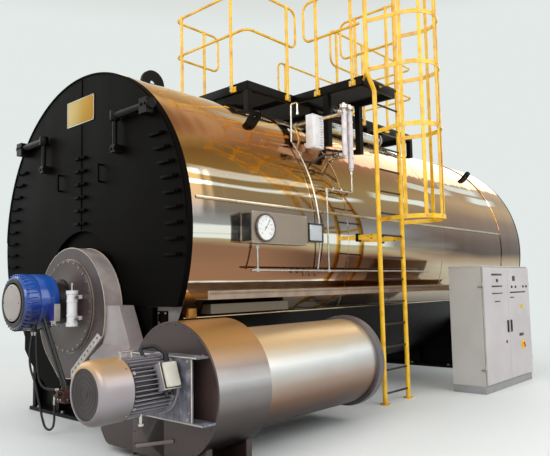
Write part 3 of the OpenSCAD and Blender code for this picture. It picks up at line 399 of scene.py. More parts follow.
bright_strip = coat("bright_strip", (196, 178, 150), 0.2, 1.0, mottle=0.2, scale=3)
strip_t, long_seam = 0.014, 2.217
for side, (low, high) in product((-1, 1), ((drip_low, drip_high), (long_seam, long_seam + 2 * strip_t))):
    x = shell_x((low + high) / 2)
    inner, outer = sorted((side * (x - 0.02), side * (x + strip_t)))
    block((inner, end_plate, low), (outer, seam_start, high), 0.002)
piece("cladding_strips", bright_strip)

rivet_pitch, rivet = 0.16, (0.005, 8, 0.003)
first_angle = math.asin((drip_high - shell_axis) / shell_radius) + 0.06
rivet_count = int((math.pi - 2 * first_angle) * shell_radius / rivet_pitch)
for joint, number in product(sheet_joints, range(rivet_count)):
    out = upright(first_angle + number * rivet_pitch / shell_radius)
    pins([Vector((0, joint + 0.012, shell_axis)) + out * (shell_radius + 0.001)], out * 0.004, *rivet)
seam_x = shell_x(long_seam + strip_t) + strip_t
for side in (-1, 1):
    seam = [(side * seam_x, 0.2 + number * rivet_pitch, long_seam + strip_t) for number in range(42)]
    pins(seam, (side * 0.003, 0, 0), *rivet)
piece("cladding_rivets", zinc)

# End plates: flanged steel plates that close the lagging. The front one is grey low on the
# right, and a bolted hatch in the rear one gives access to the smoke chamber.
mix = Mix("end_plate_paint")
cloud = mix.noise(4)
low_right = (mix.axis("X") > 1.1) * (mix.axis("Z") < 1.3)
grey = mix.tones(cloud, (104, 100, 98), (138, 134, 132))
end_plate_paint = mix.finish(
    mix.noise(90), 0.0004, Base_Color=mix.between(low_right, colour(14, 12, 11), grey),
    Roughness=0.45 + (cloud - 0.5) * 0.2, Specular_IOR_Level=0.15)
mix = Mix("black_steel_paint")
cloud = mix.noise(5)
black_steel = mix.finish(
    mix.noise(110), 0.0004, Base_Color=mix.tones(cloud, (11, 10, 9), (23, 20, 19)),
    Roughness=0.42 + (cloud - 0.5) * 0.3, Specular_IOR_Level=0.12)


def dress(material, *nodes):
    """Gives CAD pieces that keep their shape a better finish."""
    for node in nodes:
        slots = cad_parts[node].data.materials
        slots.clear()
        slots.append(material)


def bolt(at, axis, size):
    """A hexagon bolt head on its washer; size is the thread's diameter."""
    at, axis = Vector(at), Vector(axis).normalized()
    head = at + axis * size * 0.2
    rod(at - axis * 0.001, head, size * 1.15, 14)
    rod(head - axis * 0.001, head + axis * size * 0.6, size * 0.95, 6)


def bolts(places, axis, size):
    for place in places:
        bolt(place, axis, size)


def circle(at, axis, radius, count, first=0.5):
    """Points on a circle about an axis; first is the share of a step before the first one."""
    place = aim(at, axis)
    for number in range(count):
        a = (number + first) * 2 * math.pi / count
        yield place @ Vector((radius * math.cos(a), radius * math.sin(a), 0))


def grab_handle(at, half, away, radius, bar_radius, over=0.01):
    """Two posts and a bar across them; half goes from the middle to one post."""
    at, half, away = Vector(at), Vector(half), Vector(away)
    pins((at - half, at + half), away, radius, 10)
    end = half + half.normalized() * over
    rod(at + away - end, at + away + end, bar_radius, 10)


dress(end_plate_paint, "front_end_plate")
dress(black_steel, "rear_end_plate", "flue_outlet")
hatch = (0, shell_end + 0.04, shell_axis - 0.7)
bolts(circle(hatch, BACK, 0.25, 16), BACK, 0.016)
lathe((0, shell_end, shell_axis), BACK, ring(1.74, 1.79, 0, 0.012), 128)
bolts(circle((0, shell_end + 0.012, shell_axis), BACK, 1.765, 60), BACK, 0.014)
grab_handle(hatch, (0.1, 0, 0), (0, 0.035, 0), 0.008, 0.009)
piece("rear_fasteners", black_steel)

# Smokebox front: two big flanged doors and a lower plate in heat-resistant black, held by rows
# of clamp bars. They are lifted off on davit arms at the shoulders after unbolting.
mix = Mix("heat_resistant_black")
patches, fine = mix.noise(2.2, 5, (1, 1, 0.6)), mix.noise(150, 2)
front_black = mix.finish(
    fine * 0.5 + mix.noise(14), 0.0012, Base_Color=mix.tones(patches, (8, 7, 6), (19, 16, 14)),
    Roughness=0.5 + (patches - 0.5) * 0.3, Specular_IOR_Level=0.03)
dress(front_black, "smokebox_door_left", "smokebox_door_right", "lower_front_plate")

door_t, clamp_t, clamp_l, clamp_pitch = 0.06, 0.03, 0.22, 0.145
clamp_radius = shell_radius - 0.07
bars = []
for z, side in product([1.707 + n * clamp_pitch for n in range(9)], (-1, 1)):
    reach = math.sqrt(clamp_radius**2 - (z - shell_axis) ** 2)
    bars.append((reach - clamp_l, z, 0.82) if side > 0 else (-reach, z, 0.18))
bars += [(-clamp_l / 2, 2.12 + n * clamp_pitch, 0.5) for n in range(6)]
for x, z, share in bars:
    block((x, -door_t - clamp_t, z - 0.014), (x + clamp_l, -door_t, z + 0.014), 0.004)
    bolt((x + clamp_l * share, -door_t - clamp_t, z), AHEAD, 0.016)
piece("clamp_bars", front_black, replaces=["door_clamps"])

trim_steps, trim_gap, trim_y = 96, 0.03, -door_t - 0.001
middle = Vector((0, -door_t - 0.003, shell_axis))
trim = [middle + upright(trim_gap + (math.pi - 2 * trim_gap) * n / trim_steps, shell_radius - 0.012)
        for n in range(trim_steps + 1)]
for start, end in zip(trim, trim[1:]):
    rod(start, end, 0.009, 8)
for low, high in ((2.06, 3.22), (3.54, shell_axis + shell_radius - 0.03)):
    rod((0, trim_y, low), (0, trim_y, high), 0.007, 8)
for x, z in product((-0.42, 0.42), (1.62, 2.62)):
    grab_handle((x, -door_t, z), (0, 0, 0.09), (0, -0.05, 0), 0.011, 0.011)
piece("door_trim", front_black)
block((1.3, -0.014, 1.06), (1.44, 0.002, 1.19), 0.003)
piece("drain_cover", front_black)
bolts(product((1.32, 1.42), (-0.014,), (1.08, 1.17)), AHEAD, 0.009)
piece("drain_cover_bolts", zinc)

dress(black_steel, "davit_arms", "lifting_lugs")
davit_z, davit_x, davit_inner, davit_y = 3.16, 1.28, 0.74, -0.12
for side in (-1, 1):
    for x, y, z in ((davit_x, -0.11, davit_z), (davit_inner, -0.09, davit_z - 0.34)):
        bolts(((side * x + dx, y - door_t, z) for dx in (-0.03, 0.03)), AHEAD, 0.014)
    lathe((side * davit_x, davit_y, davit_z), (side, 0, 0), (
        (0, 0.055), (0.052, 0.055), (0.052, 0.075), (0.045, 0.08), (0, 0.08)), 24)
    lathe((side * davit_inner, davit_y, davit_z - 0.05), UP, (
        (0.02, 0), (0.046, 0), (0.05, 0.008), (0.05, 0.09), (0.046, 0.1), (0.02, 0.1), (0.02, 0)), 24)
piece("davit_fittings", black_steel)

# Gold plate: a blank sheet of gold tone on the left door.
mix = Mix("gold_plate")
gold = mix.finish(Metallic=0.7, Roughness=0.52, Base_Color=mix.ramp(
    mix.axis("X") + (mix.noise(3) - 0.5) * 0.2 + 0.5,
    (0.25, 176, 156, 94), (0.5, 166, 134, 52), (0.72, 176, 128, 36)))
plate_x, plate_z, plate_y, frame_w = (-0.3, 0.25), (3.24, 3.52), -0.066, 0.004
block((plate_x[0], plate_y, plate_z[0]), (plate_x[1], plate_y + 0.004, plate_z[1]), 0.0015)
piece("gold_plate", gold)
corners = product((plate_x[0] + 0.02, plate_x[1] - 0.02), (plate_y,), (plate_z[0] + 0.02, plate_z[1] - 0.02))
pins(corners, (0, -0.003, 0), 0.007, 12, 0.005)
for (x0, x1), (z0, z1) in (
    *(((x, x), plate_z) for x in plate_x), *((plate_x, (z, z)) for z in plate_z)
):
    block((x0 - frame_w, -0.068, z0 - frame_w), (x1 + frame_w, -0.06, z1 + frame_w), 0.001)
piece("gold_plate_frame", zinc)

# Saddles: welded steel feet under both ends of the shell, bolted down to the floor.
dress(black_steel, "front_saddle", "rear_saddle")
for y, half in ((0.12, 1.18), (6.0, 1.43)):
    xs = (-half + 0.16, -half / 2 + 0.12, half / 2 - 0.12, half - 0.16)
    bolts(product(xs, (y - 0.12, y + 0.12), (0.04,)), UP, 0.024)
piece("anchor_bolts", zinc)

# Burner casing: a welded scroll in hammer paint. Its front face is brown-grey, its rolled side
# is paler, and a bolted strip closes it against the air duct.
volute_front, volute_back, volute_r, volute_middle = -0.27, -0.07, 0.66, Vector((0.15, 0, 1.18))
flange_angle, tip_angle = math.radians(-20), math.radians(229)
flange_top = volute_middle + upright(flange_angle, volute_r)
flange_low, volute_tip = Vector((0.19, 0, 0.5)), Vector((-0.06, 0, 0.49))
mix = Mix("casing_paint")
mottle = mix.noise(5, 5)
face_tone = mix.tones(mottle, (56, 45, 44), (76, 63, 61))
side_tone = mix.tones(mottle, (138, 126, 122), (176, 164, 160))
casing_paint = mix.finish(
    mix.noise(90, 2), 0.0005, Roughness=0.38 + (mottle - 0.5) * 0.2, Coat_Weight=0.1,
    Base_Color=mix.between(mix.axis("Y") < volute_front + 0.004, side_tone, face_tone))
worn_edge = coat("worn_edge", (198, 186, 172), 0.4, 0.6, scale=12)
dress(casing_paint, "burner_volute")

curve_steps = 72
curve = [volute_middle + upright(flange_angle + (tip_angle - flange_angle) * n / curve_steps, volute_r)
         for n in range(1, curve_steps + 1)]
outline = [volute_tip, flange_low, flange_top, *curve, volute_tip]
for y, radius in ((volute_front, 0.0045), (volute_back - 0.01, 0.004)):
    for start, end in zip(outline, outline[1:]):
        rod((start.x, y, start.z), (end.x, y, end.z), radius, 8)
piece("volute_rim_beads", worn_edge)

run = (flange_top - flange_low).normalized()
across = Vector((-run.z, 0, run.x)) * 0.07
length = (flange_top - flange_low).length
part = bmesh.new()
outer_face = part.faces.new([part.verts.new((at.x, volute_front - 0.001, at.z)) for at in (
    flange_low + run * 0.01, flange_top - run * 0.02,
    flange_top - run * 0.05 + across, flange_low + run * 0.06 + across)])
raised = bmesh.ops.extrude_face_region(part, geom=[outer_face])["geom"]
moved = [v for v in raised if isinstance(v, bmesh.types.BMVert)]
bmesh.ops.translate(part, vec=(0, -0.008, 0), verts=moved)
add_part(part)
piece("duct_flange_strip", coat("strip_paint", (190, 182, 178), 0.4, scale=9))
face = Vector((0, volute_front - 0.009, 0))
row = (face + flange_low + run * (0.08 + n * (length - 0.16) / 8) + across * 0.5 for n in range(9))
bolts(row, AHEAD, 0.011)
piece("duct_flange_bolts", zinc)

cover_x, cover_z, cover_r, cover_front = 0.13, 1.24, 0.48, -0.3
cover_back = (cover_x, volute_front, cover_z)
cover_paint = coat("cover_paint", (78, 64, 60), 0.4, mottle=0.15, scale=5, clear=0.1)
dark_paint = coat("dark_casting_paint", (36, 33, 34), 0.45, mottle=0.2, scale=12)
neck_front, neck_z = -0.43, 1.29
lathe(cover_back, AHEAD, (
    (0, 0), (cover_r, 0), (cover_r, 0.02), (cover_r - 0.008, 0.028), (cover_r - 0.03, 0.03),
    (cover_r - 0.05, 0.026), (0.25, 0.026), (0.24, 0.03), (0, 0.03)), 96)
piece("round_cover", cover_paint)
lathe(cover_back, AHEAD, ring(cover_r - 0.004, cover_r + 0.005, 0, 0.006), 96)
piece("round_cover_rim", worn_edge)
lathe((0, cover_front, neck_z), AHEAD, (
    (0, 0), (0.235, 0), (0.235, 0.018), (0.2, 0.024), (0.19, 0.09), (0.2, 0.112), (0.235, 0.118),
    (0.235, 0.13), (0, 0.13)))
bolts(circle((0, cover_front - 0.018, neck_z), AHEAD, 0.218, 12), AHEAD, 0.009)
piece("motor_neck", dark_paint, replaces=["volute_cover"])
bolts(circle((cover_x, cover_front, cover_z), AHEAD, cover_r - 0.022, 28), AHEAD, 0.01)
piece("cover_bolts", zinc)

# Burner motor: a blue enamelled casting with short ribs round its front, a pale pressed end
# cap, and the gland underneath from which the hoses hang.


def disc(radius, low, high):
    """The profile of a plain disc."""
    return (0, low), (radius, low), (radius, high), (0, high)


def slab(centre, half, *form):
    """A block about its centre."""
    block(centre - Vector(half), centre + Vector(half), *form)


mix = Mix("blue_enamel_painted_shade")
cloud = mix.noise(5)
# The blue is painted darker towards the bottom and brighter towards the top: painted shade and painted light
# on the round body.
blue = mix.finish(
    mix.noise(90), 0.0003, Roughness=0.22 + (cloud - 0.5) * 0.1, Coat_Weight=0.7, Base_Color=mix.ramp(
        mix.axis("Z") * 0.5 + (cloud - 0.5) * 0.05,
        (0.5, 10, 16, 40), (0.58, 16, 36, 92), (0.65, 24, 66, 150), (0.76, 40, 88, 170)))
cap_pale = coat("pale_cap_paint", (162, 154, 148), 0.42, mottle=0.08, scale=8)
motor_front, motor_r, rib_count = -0.8, 0.283, 36
lathe((0, neck_front, neck_z), AHEAD, (
    (0, 0), (0.225, 0), (0.25, 0.006), (motor_r - 0.004, 0.02), (motor_r, 0.04), (motor_r, 0.2),
    (motor_r - 0.003, 0.205), (motor_r - 0.003, 0.215), (motor_r, 0.22), (motor_r - 0.004, 0.3),
    (motor_r - 0.016, 0.34), (motor_r - 0.03, 0.362), (0.2, 0.37), (0, 0.37)), 72)
for number in range(rib_count):
    turn = Matrix.Rotation(-number * 2 * math.pi / rib_count, 4, "Y")
    centre = Vector((0, neck_front - 0.295, neck_z)) + turn @ Vector((0, 0, motor_r - 0.006))
    slab(centre, (0.006, 0.055, 0.0065), 0.004, turn)
for a in (0.5, 1.6, 2.7, 3.9, 5.2):
    out = upright(math.pi / 2 - a)
    pins([Vector((0, -0.5, neck_z)) + out * (motor_r - 0.02)], out * 0.019, 0.016, 14)
piece("burner_motor_shell", blue)
lathe((0, motor_front + 0.03, neck_z), AHEAD, (
    (0, 0), (0.246, 0), (0.246, 0.024), (0.232, 0.033), (0.205, 0.03), (0, 0.03)), 64)
piece("burner_motor_front_ring", dark_paint)
lathe((0, motor_front, neck_z), AHEAD, (
    (0, 0), (0.182, 0), (0.182, 0.006), (0.174, 0.012), (0.162, 0.0145), (0.09, 0.0148), (0, 0.015)), 64)
piece("burner_motor_cap", cap_pale)
pins(circle((0, motor_front - 0.012, neck_z), AHEAD, 0.16, 4, 0), (0, -0.0029, 0), 0.008, 12)
lathe((0.142, -0.648, gland_base), UP, (
    (0, 0), (0.028, 0), (0.032, 0.004), (0.032, 0.02), (0.026, 0.024), (0.026, 0.034), (0.031, 0.036),
    (0.031, 0.08), (0, 0.08)), 24)
piece("burner_motor_fittings", dark_paint, replaces=["burner_motor"])

# Servo, filter and fuel block: bought-in gear on the burner. The servo is a dark blue moulding,
# the filter a white bowl on two arms, and the fuel block a cluster of oily bronze valves.
servo_blue = coat("servo_moulding", (40, 42, 120), 0.35, mottle=0.1, scale=14, clear=0.3)
white = coat("white_enamel", (225, 224, 226), 0.3, mottle=0.06, scale=10, clear=0.3)
tube_steel = coat("drawn_steel_tube", (205, 200, 192), 0.22, 1.0, mottle=0.12, scale=20)
servo_low, servo_high = Vector((0.245, -0.56, 1.106)), Vector((0.39, -0.505, 1.27))
block(servo_low, servo_high - Vector((0.016, 0, 0)), 0.006)
block((0.33, servo_low.y - 0.006, 1.13), (0.36, servo_low.y + 0.002, 1.15), 0.003)
piece("servo_case", servo_blue, replaces=["burner_servo"])
block((servo_high.x - 0.016, servo_low.y - 0.002, servo_low.z - 0.002),
      servo_high + Vector((0, 0.002, 0.002)), 0.005)
piece("servo_lid", cap_pale)
pins(product((servo_high.x - 0.001,), (servo_low.y + 0.01, servo_high.y - 0.01), (
    servo_low.z + 0.012, servo_high.z - 0.012)), (0.003, 0, 0), 0.004, 10)
for x, drop in ((0.275, 0.05), (0.315, 0.034), (0.35, 0.042)):
    top = Vector((x, -0.53, servo_low.z))
    rod(top + Vector((0, 0, 0.001)), top - Vector((0, 0, 0.012)), 0.015, 6)
    rod(top - Vector((0, 0, 0.01)), top - Vector((0, 0, drop)), 0.011)
rod((0.36, -0.532, servo_low.z - 0.02), (0.405, -0.532, servo_low.z - 0.055), 0.009, 10)
piece("servo_glands", tube_steel)

filter_x, filter_y, filter_low, filter_high = 0.434, -0.405, 1.045, 1.403
lathe((filter_x, filter_y, filter_low), UP, (
    (0, 0), (0.03, 0), (0.058, 0.004), (0.058, 0.03), (0.05, 0.036), (0.05, 0.1), (0.054, 0.104),
    (0.054, 0.116), (0.05, 0.12), (0.05, 0.24), (0.054, 0.244), (0.054, 0.256), (0.05, 0.26),
    (0.05, 0.316), (0.058, 0.322), (0.058, 0.35), (0.03, 0.358), (0, 0.358)), 40)
for z in (filter_low + 0.06, filter_high - 0.09):
    block((filter_x - 0.015, filter_y + 0.03, z), (filter_x + 0.015, cover_front, z + 0.04), 0.004)
piece("filter_bowl", white, replaces=["filter_cylinder"])
for z in (filter_low - 0.004, filter_high - 0.044):
    pins(circle((filter_x, filter_y, z), UP, 0.053, 6, 0), (0, 0, 0.044), 0.0045, 8)
rod((filter_x, filter_y, filter_high - 0.001), (filter_x, filter_y, filter_high + 0.05), 0.012, 12)
lathe((filter_x, filter_y, filter_high + 0.05), UP, disc(0.016, 0, 0.02), 6)
for z in (filter_low + 0.075, filter_high - 0.07):
    rod((filter_x + 0.04, filter_y, z), (filter_x + 0.085, filter_y, z), 0.014)
    rod((filter_x + 0.085, filter_y, z), (filter_x + 0.1, filter_y, z), 0.018, 6)
piece("filter_fittings", tube_steel)

block_low, block_high, ports_z = Vector((0.425, -0.56, 0.335)), Vector((0.575, -0.44, 0.485)), 0.375
block(block_low, block_high - Vector((0, 0, 0.04)), 0.008)
for x, r in ((0.47, 0.034), (0.54, 0.03)):
    lathe((x, -0.5, block_high.z - 0.045), UP, (
        (0, 0), (r, 0), (r, 0.02), (r - 0.008, 0.026), (r - 0.008, 0.045), (0, 0.045)), 20)
rod((0.335, tee_y, tee_z), (0.43, tee_y, tee_z), 0.012, 14)
ports = [(x, block_low.y, ports_z) for x in (0.45, 0.5, 0.55)]
for port in ports:
    lathe(port, AHEAD, ((0, 0), (0.018, 0), (0.018, 0.006), (0.012, 0.01), (0.012, 0.018), (0, 0.018)), 14)
lathe((0.5, block_low.y, 0.42), AHEAD, (
    (0, 0), (0.02, 0), (0.02, 0.012), (0.026, 0.016), (0.026, 0.03), (0.02, 0.034), (0, 0.034)), 20)
fuel_bronze = coat("oily_bronze", (78, 54, 46), 0.4, 0.6, mottle=0.3, scale=16)
piece("fuel_valves", fuel_bronze, replaces=["fuel_block"])
rod((0.342, tee_y, tee_z - 0.05), (0.342, tee_y, tee_z), 0.013, 6)
rod((0.402, tee_y, branch_z), (0.43, tee_y, branch_z), 0.013, 6)
pins(((x, y - 0.017, z) for x, y, z in ports), (0, -0.007, 0), 0.009, 6)
pins(product((block_high.x - 0.002,), (-0.53, -0.47), (0.37,)), (0.016, 0, 0), 0.012, 6)
piece("fuel_fittings", tube_steel)
motor_cut = 0.28
for top, low in (((0.19, -0.59, 1.11), (0.47, -0.5, 0.45)), ((0.228, -0.59, 1.15), (0.53, -0.5, 0.45))):
    top, low = Vector(top), Vector(low)
    way = (low - top).normalized()
    while math.hypot(top.x, top.z - neck_z) < motor_cut:
        top += way * 0.004
    rod(top, low, 0.0155, 14)
    for share in (0.1, 0.9):
        lathe(top.lerp(low, share), way, ring(0.014, 0.02, 0, 0.02), 14)
piece("fuel_struts", dark_paint)

# Air duct: a folded and welded sheet box that carries combustion air from the fan up to the
# burner casing, with a bolted flange at the fan spout.
mix = Mix("duct_paint")
cloud = mix.noise(3, 4)
low_end = (mix.axis("Z") < 0.46) * (mix.axis("X") > 1.15)
# Towards its low right end, where it slopes down to the fan, the sheet is painted darker brown: painted
# shade.
pale = mix.between(
    mix.rise(mix.axis("X"), 0.9, 1.6),
    mix.tones(cloud, (152, 144, 143), (186, 177, 178)), colour(122, 104, 102))
duct_paint = mix.finish(
    mix.noise(70, 2), 0.0004, Base_Color=mix.between(low_end, pale, colour(62, 49, 47)),
    Roughness=0.36 + (cloud - 0.5) * 0.2, Metallic=0.3, Coat_Weight=0.1)
dress(duct_paint, "air_duct")
spout_x, spout_low, spout_high, duct_back, rim = 1.65, 0.065, 0.5, -0.09, 0.024
for x in (spout_x - 0.013, spout_x + 0.001):
    for front, low, high in (
        (-0.533, spout_low - rim, spout_low + 0.002), (-0.533, spout_high - 0.002, spout_high + rim),
        (duct_back - 0.002, spout_low - rim, spout_high + rim),
    ):
        block((x, front, low), (x + 0.012, duct_back + rim, high), 0.002)
spout_rows = (spout_low - 0.012, spout_high + 0.012)
bolts(product((spout_x - 0.013,), (-0.49, -0.39, -0.29, -0.19, -0.1), spout_rows), LEFT, 0.008)
piece("duct_flanges", duct_paint)

# Air fan: a rolled drum of brushed sheet with a dark painted front disc, on welded feet.
fan_x, fan_z, fan_r, fan_front, fan_back, disc_front = 2.17, 0.61, 0.53, -0.52, 0.04, -0.535


def brushed(name, stretch, roughness, *tones):
    """Brushed sheet: its tone changes with the height as painted shade, sheen and highlight bands, and fine
    lines run along or round it.
    """
    mix = Mix(name)
    lines, broad = mix.noise(200, 3, stretch), mix.noise(2, 3, (0.8, 0.5, 0.8))
    tone = mix.ramp(mix.axis("Z") * 0.8 + (broad - 0.5) * 0.08, *((at * 0.8, *shade) for at, *shade in tones))
    return mix.finish(
        lines, 0.00006, Base_Color=mix.between(lines * 0.1, tone, colour(96, 86, 80)), Metallic=0.85,
        Roughness=roughness + (lines - 0.5) * 0.1)


# Painted light by height: painted shade dark at the bottom, a pale painted highlight band, and golden painted
# sheen at the top.
drum_sheet = brushed(
    "brushed_fan_sheet", (0.04, 1, 0.04), 0.36,
    (0.1, 26, 21, 21), (0.28, 46, 39, 38), (0.46, 94, 87, 86), (0.62, 150, 146, 146),
    (0.7, 204, 200, 200), (0.8, 148, 134, 128), (0.98, 200, 156, 102), (1.15, 200, 150, 84))
disc_paint = coat("disc_paint", (64, 50, 47), 0.42, mottle=0.1, scale=3, clear=0.1)
lathe((fan_x, fan_back, fan_z), AHEAD, (
    (0, 0), (fan_r - 0.004, 0), (fan_r, 0.004), (fan_r, 0.008), (fan_r, 0.56), (0, 0.56)), 128)
block((spout_x, fan_front, spout_low), (fan_x - 0.1, duct_back, spout_high), 0.002)
piece("fan_drum", drum_sheet, replaces=["fan_housing"], crease=40)
lathe((fan_x, fan_front, fan_z), AHEAD, (
    (0, 0), (fan_r, 0), (fan_r, 0.012), (fan_r - 0.003, 0.015), (0, 0.015)), 128)
block((spout_x, disc_front, spout_low), (fan_x - 0.1, fan_front, spout_high), 0.002)
piece("fan_disc", disc_paint, replaces=["fan_front_disc"], crease=40)
rim_bolts = circle((fan_x, disc_front, fan_z), AHEAD, fan_r - 0.022, 32)
bolts((at for at in rim_bolts if at.x > spout_x + 0.25 or at.z > spout_high + 0.05), AHEAD, 0.005)
bolts(((spout_x + 0.03, disc_front, spout_low + 0.07 + number * 0.1) for number in range(4)), AHEAD, 0.005)
piece("fan_disc_bolts", disc_paint)
bar_tilt = Matrix.Rotation(math.radians(-13), 4, "Y")
block((1.7, disc_front - 0.012, 0.162), (2.2, disc_front, 0.19), 0.0055, bar_tilt, 3)
piece("fan_disc_grab_bar", coat("bar_paint", (120, 104, 100), 0.4))
dress(disc_paint, "fan_base")
bolts(product((fan_x - 0.35, fan_x + 0.35), (fan_front + 0.05, fan_back - 0.05), (0.012,)), UP, 0.02)
piece("fan_foot_bolts", zinc)

# Motor stool: two shelves and an upright plate, worn bright on their edges, that carry the
# motor ahead of the fan.
mix = Mix("worn_stool_paint")
wear = mix.noise(9, 6)
stool_paint = mix.finish(
    wear, 0.0015, Metallic=0.3, Roughness=0.42, Base_Color=mix.ramp(
        wear * 0.6 + mix.noise(40, 3, (3, 1, 0.3)) * 0.4,
        (0.36, 74, 70, 74), (0.54, 112, 112, 122), (0.68, 164, 164, 174)))
dress(stool_paint, "motor_stool")
stool_front, stool_back, stool_low, stool_top = -0.655, -0.535, 0.414, 0.9
motor_x, motor_z = 2.19, 0.69
for off, zs, size in (
    (0.32, (stool_low + 0.034, stool_top - 0.034), 0.012), (0.335, (0.5, 0.6, 0.7, 0.8), 0.008)
):
    bolts(product((motor_x - off, motor_x + off), (stool_front,), zs), AHEAD, size)
for z, way, off in ((stool_low, DOWN, 0.44), (stool_top, UP, 0.38)):
    bolts(product((motor_x - off, motor_x + off), (stool_front + 0.03, stool_back - 0.03), (z,)), way, 0.01)
piece("stool_bolts", zinc)
for z, half in ((stool_low + 0.008, 0.476), (stool_top - 0.008, 0.416)):
    rod((motor_x - half, stool_front, z), (motor_x + half, stool_front, z), 0.0055, 8)
for x in (motor_x - 0.36, motor_x + 0.36):
    rod((x, stool_front, stool_low + 0.018), (x, stool_front, stool_top - 0.018), 0.005, 8)
piece("stool_worn_edges", coat("worn_steel_edge", (206, 196, 186), 0.4, 0.5, scale=22))

# Fan motor: a cast body with cooling fins all round, a smooth pressed cowl over its own fan,
# a lifting handle, a lead and a terminal box on its side. It is the finest casting on the boiler.


def bent(points, bend):
    """The points of a tube's route with its corners rounded to the bend radius."""
    points = [Vector(p) for p in points]
    route = [points[0]]
    for before, corner, after in zip(points, points[1:], points[2:]):
        back, on = before - corner, after - corner
        turned = (math.pi - back.angle(on)) / 2
        cut = min(bend * math.tan(turned), back.length * 0.49, on.length * 0.49)
        start, end = corner + back.normalized() * cut, corner + on.normalized() * cut
        route += [start.lerp(corner, t).lerp(corner.lerp(end, t), t) for t in (n / 8 for n in range(9))]
    return route + [points[-1]]


def tube(points, radius, bend=0.05, resolution=3):
    """A bent tube along a route, with closed ends."""
    line = bpy.data.curves.new("tube", "CURVE")
    line.dimensions = "3D"
    line.bevel_depth, line.bevel_resolution, line.use_fill_caps = radius, resolution, True
    route = bent(points, bend)
    spline = line.splines.new("POLY")
    spline.points.add(len(route) - 1)
    for point, place in zip(spline.points, route):
        point.co = (*place, 1)
    swept = bpy.data.meshes.new_from_object(bpy.data.objects.new("tube", line))
    part = bmesh.new()
    part.from_mesh(swept)
    bmesh.ops.remove_doubles(part, verts=part.verts, dist=1e-6)
    add_part(part)
    bpy.data.meshes.remove(swept)


def motor_at(y, x=0.0, z=0.0):
    """A place beside the axis of the fan motor."""
    return Vector((motor_x + x, y, motor_z + z))


mix = Mix("motor_silver_painted_light")
haze = mix.noise(3, 2, (1, 0.5, 1))
# The hood's colour is painted light by height: painted shade dark at the bottom, grey in the middle, and a
# golden painted highlight along the top.
hood_painted_light = mix.finish(
    mix.noise(120), 0.0002, Roughness=0.38 + (haze - 0.5) * 0.1, Metallic=0.35, Coat_Weight=0.12,
    Base_Color=mix.ramp(
        mix.axis("Z") + (haze - 0.5) * 0.1, (0.45, 58, 48, 46), (0.54, 108, 99, 99), (0.64, 148, 141, 145),
        (0.76, 166, 157, 158), (0.84, 182, 152, 120), (0.92, 206, 164, 108)))
fin_paint = coat("motor_casting_paint", (150, 146, 152), 0.42, 0.3, mottle=0.1, scale=4)
body_front, cowl_front, fin_count = -1.04, -1.295, 40
lathe(motor_at(stool_front - 0.05), AHEAD, ring(0.19, 0.1945, 0, 0.32), 64)
piece("fan_motor_core", dark_paint)
lathe(motor_at(stool_front), AHEAD, (
    (0, 0), (0.228, 0), (0.228, 0.014), (0.223, 0.02), (0.204, 0.022), (0.197, 0.03), (0.192, 0.05),
    (0.192, 0.37), (0.206, 0.375), (0.206, 0.384), (0, 0.384)), 64)
for number in range(fin_count):
    turn = Matrix.Rotation(-number * 2 * math.pi / fin_count, 4, "Y")
    centre = motor_at((stool_front + body_front) / 2 - 0.012) + turn @ Vector((0, 0, 0.2063))
    slab(centre, (0.0026, 0.166, 0.0135), 0.0018, turn, 1)
bolts(circle(motor_at(stool_front - 0.02), AHEAD, 0.216, 8), AHEAD, 0.009)
for a, y in product((35, 145, 215, 325), (-0.7, -1.015)):
    out = upright(math.radians(a))
    pins([motor_at(y) + out * 0.19], out * 0.028, 0.014, 12)
piece("fan_motor_casting", fin_paint, replaces=["fan_motor_body"])
cowl_r, cowl_l = 0.226, body_front - cowl_front
lathe(motor_at(body_front), AHEAD, (
    (0.2, 0.001), (0.224, 0.001), (cowl_r, 0.003), (cowl_r, cowl_l - 0.06),
    *((cowl_r - out, cowl_l - back) for out, back in (
        (0.0015, 0.046), (0.006, 0.031), (0.0135, 0.018), (0.024, 0.008), (0.036, 0.002), (0.045, 0))),
    (0.176, cowl_l), (0.174, cowl_l - 0.01), (0, cowl_l - 0.01)), 96)
piece("fan_motor_hood", hood_painted_light, replaces=["fan_motor_cowl"])
grille_paint = coat("grille_paint", (46, 37, 36), 0.5, mottle=0.2, scale=10)
lathe(motor_at(cowl_front + 0.011), AHEAD, (
    (0, 0), (0.1735, 0), (0.1735, 0.005), (0.166, 0.0075), (0.158, 0.0045), (0.13, 0.0045),
    (0.127, 0.0065), (0.123, 0.0045), (0.098, 0.0045), (0.095, 0.0065), (0.091, 0.0045),
    (0.066, 0.0045), (0.063, 0.0065), (0.059, 0.0045), (0.03, 0.0045), (0.026, 0.0085), (0, 0.009)), 64)
piece("fan_motor_grille", grille_paint)
grab_handle(motor_at(-0.985, 0.03, 0.19), (0, 0.045, 0), (0, 0, 0.072), 0.008, 0.008, 0.008)
for at in circle(motor_at(body_front - 0.03), AHEAD, cowl_r, 4):
    out = (at - motor_at(body_front - 0.03)).normalized()
    rod(at - out * 0.002, at + out * 0.005, 0.008, 10)
rod(motor_at(-0.9, 0.09, -0.18), motor_at(-0.9, 0.09, -0.26), 0.012, 12)
rod(motor_at(-0.9, 0.09, -0.252), motor_at(-0.9, 0.09, -0.268), 0.02, 6)
piece("fan_motor_fittings", tube_steel)
tube([motor_at(*at) for at in (
    (-0.82, 0.02, 0.205), (-0.83, -0.03, 0.27), (-0.76, 0.06, 0.285), (-0.7, 0.12, 0.225))], 0.014, 0.04)
rod(motor_at(-0.82, 0.02, 0.19), motor_at(-0.82, 0.02, 0.215), 0.022)
rod(motor_at(-0.7, 0.13, 0.15), motor_at(-0.7, 0.118, 0.23), 0.022)
piece("fan_motor_lead", hose_rubber)

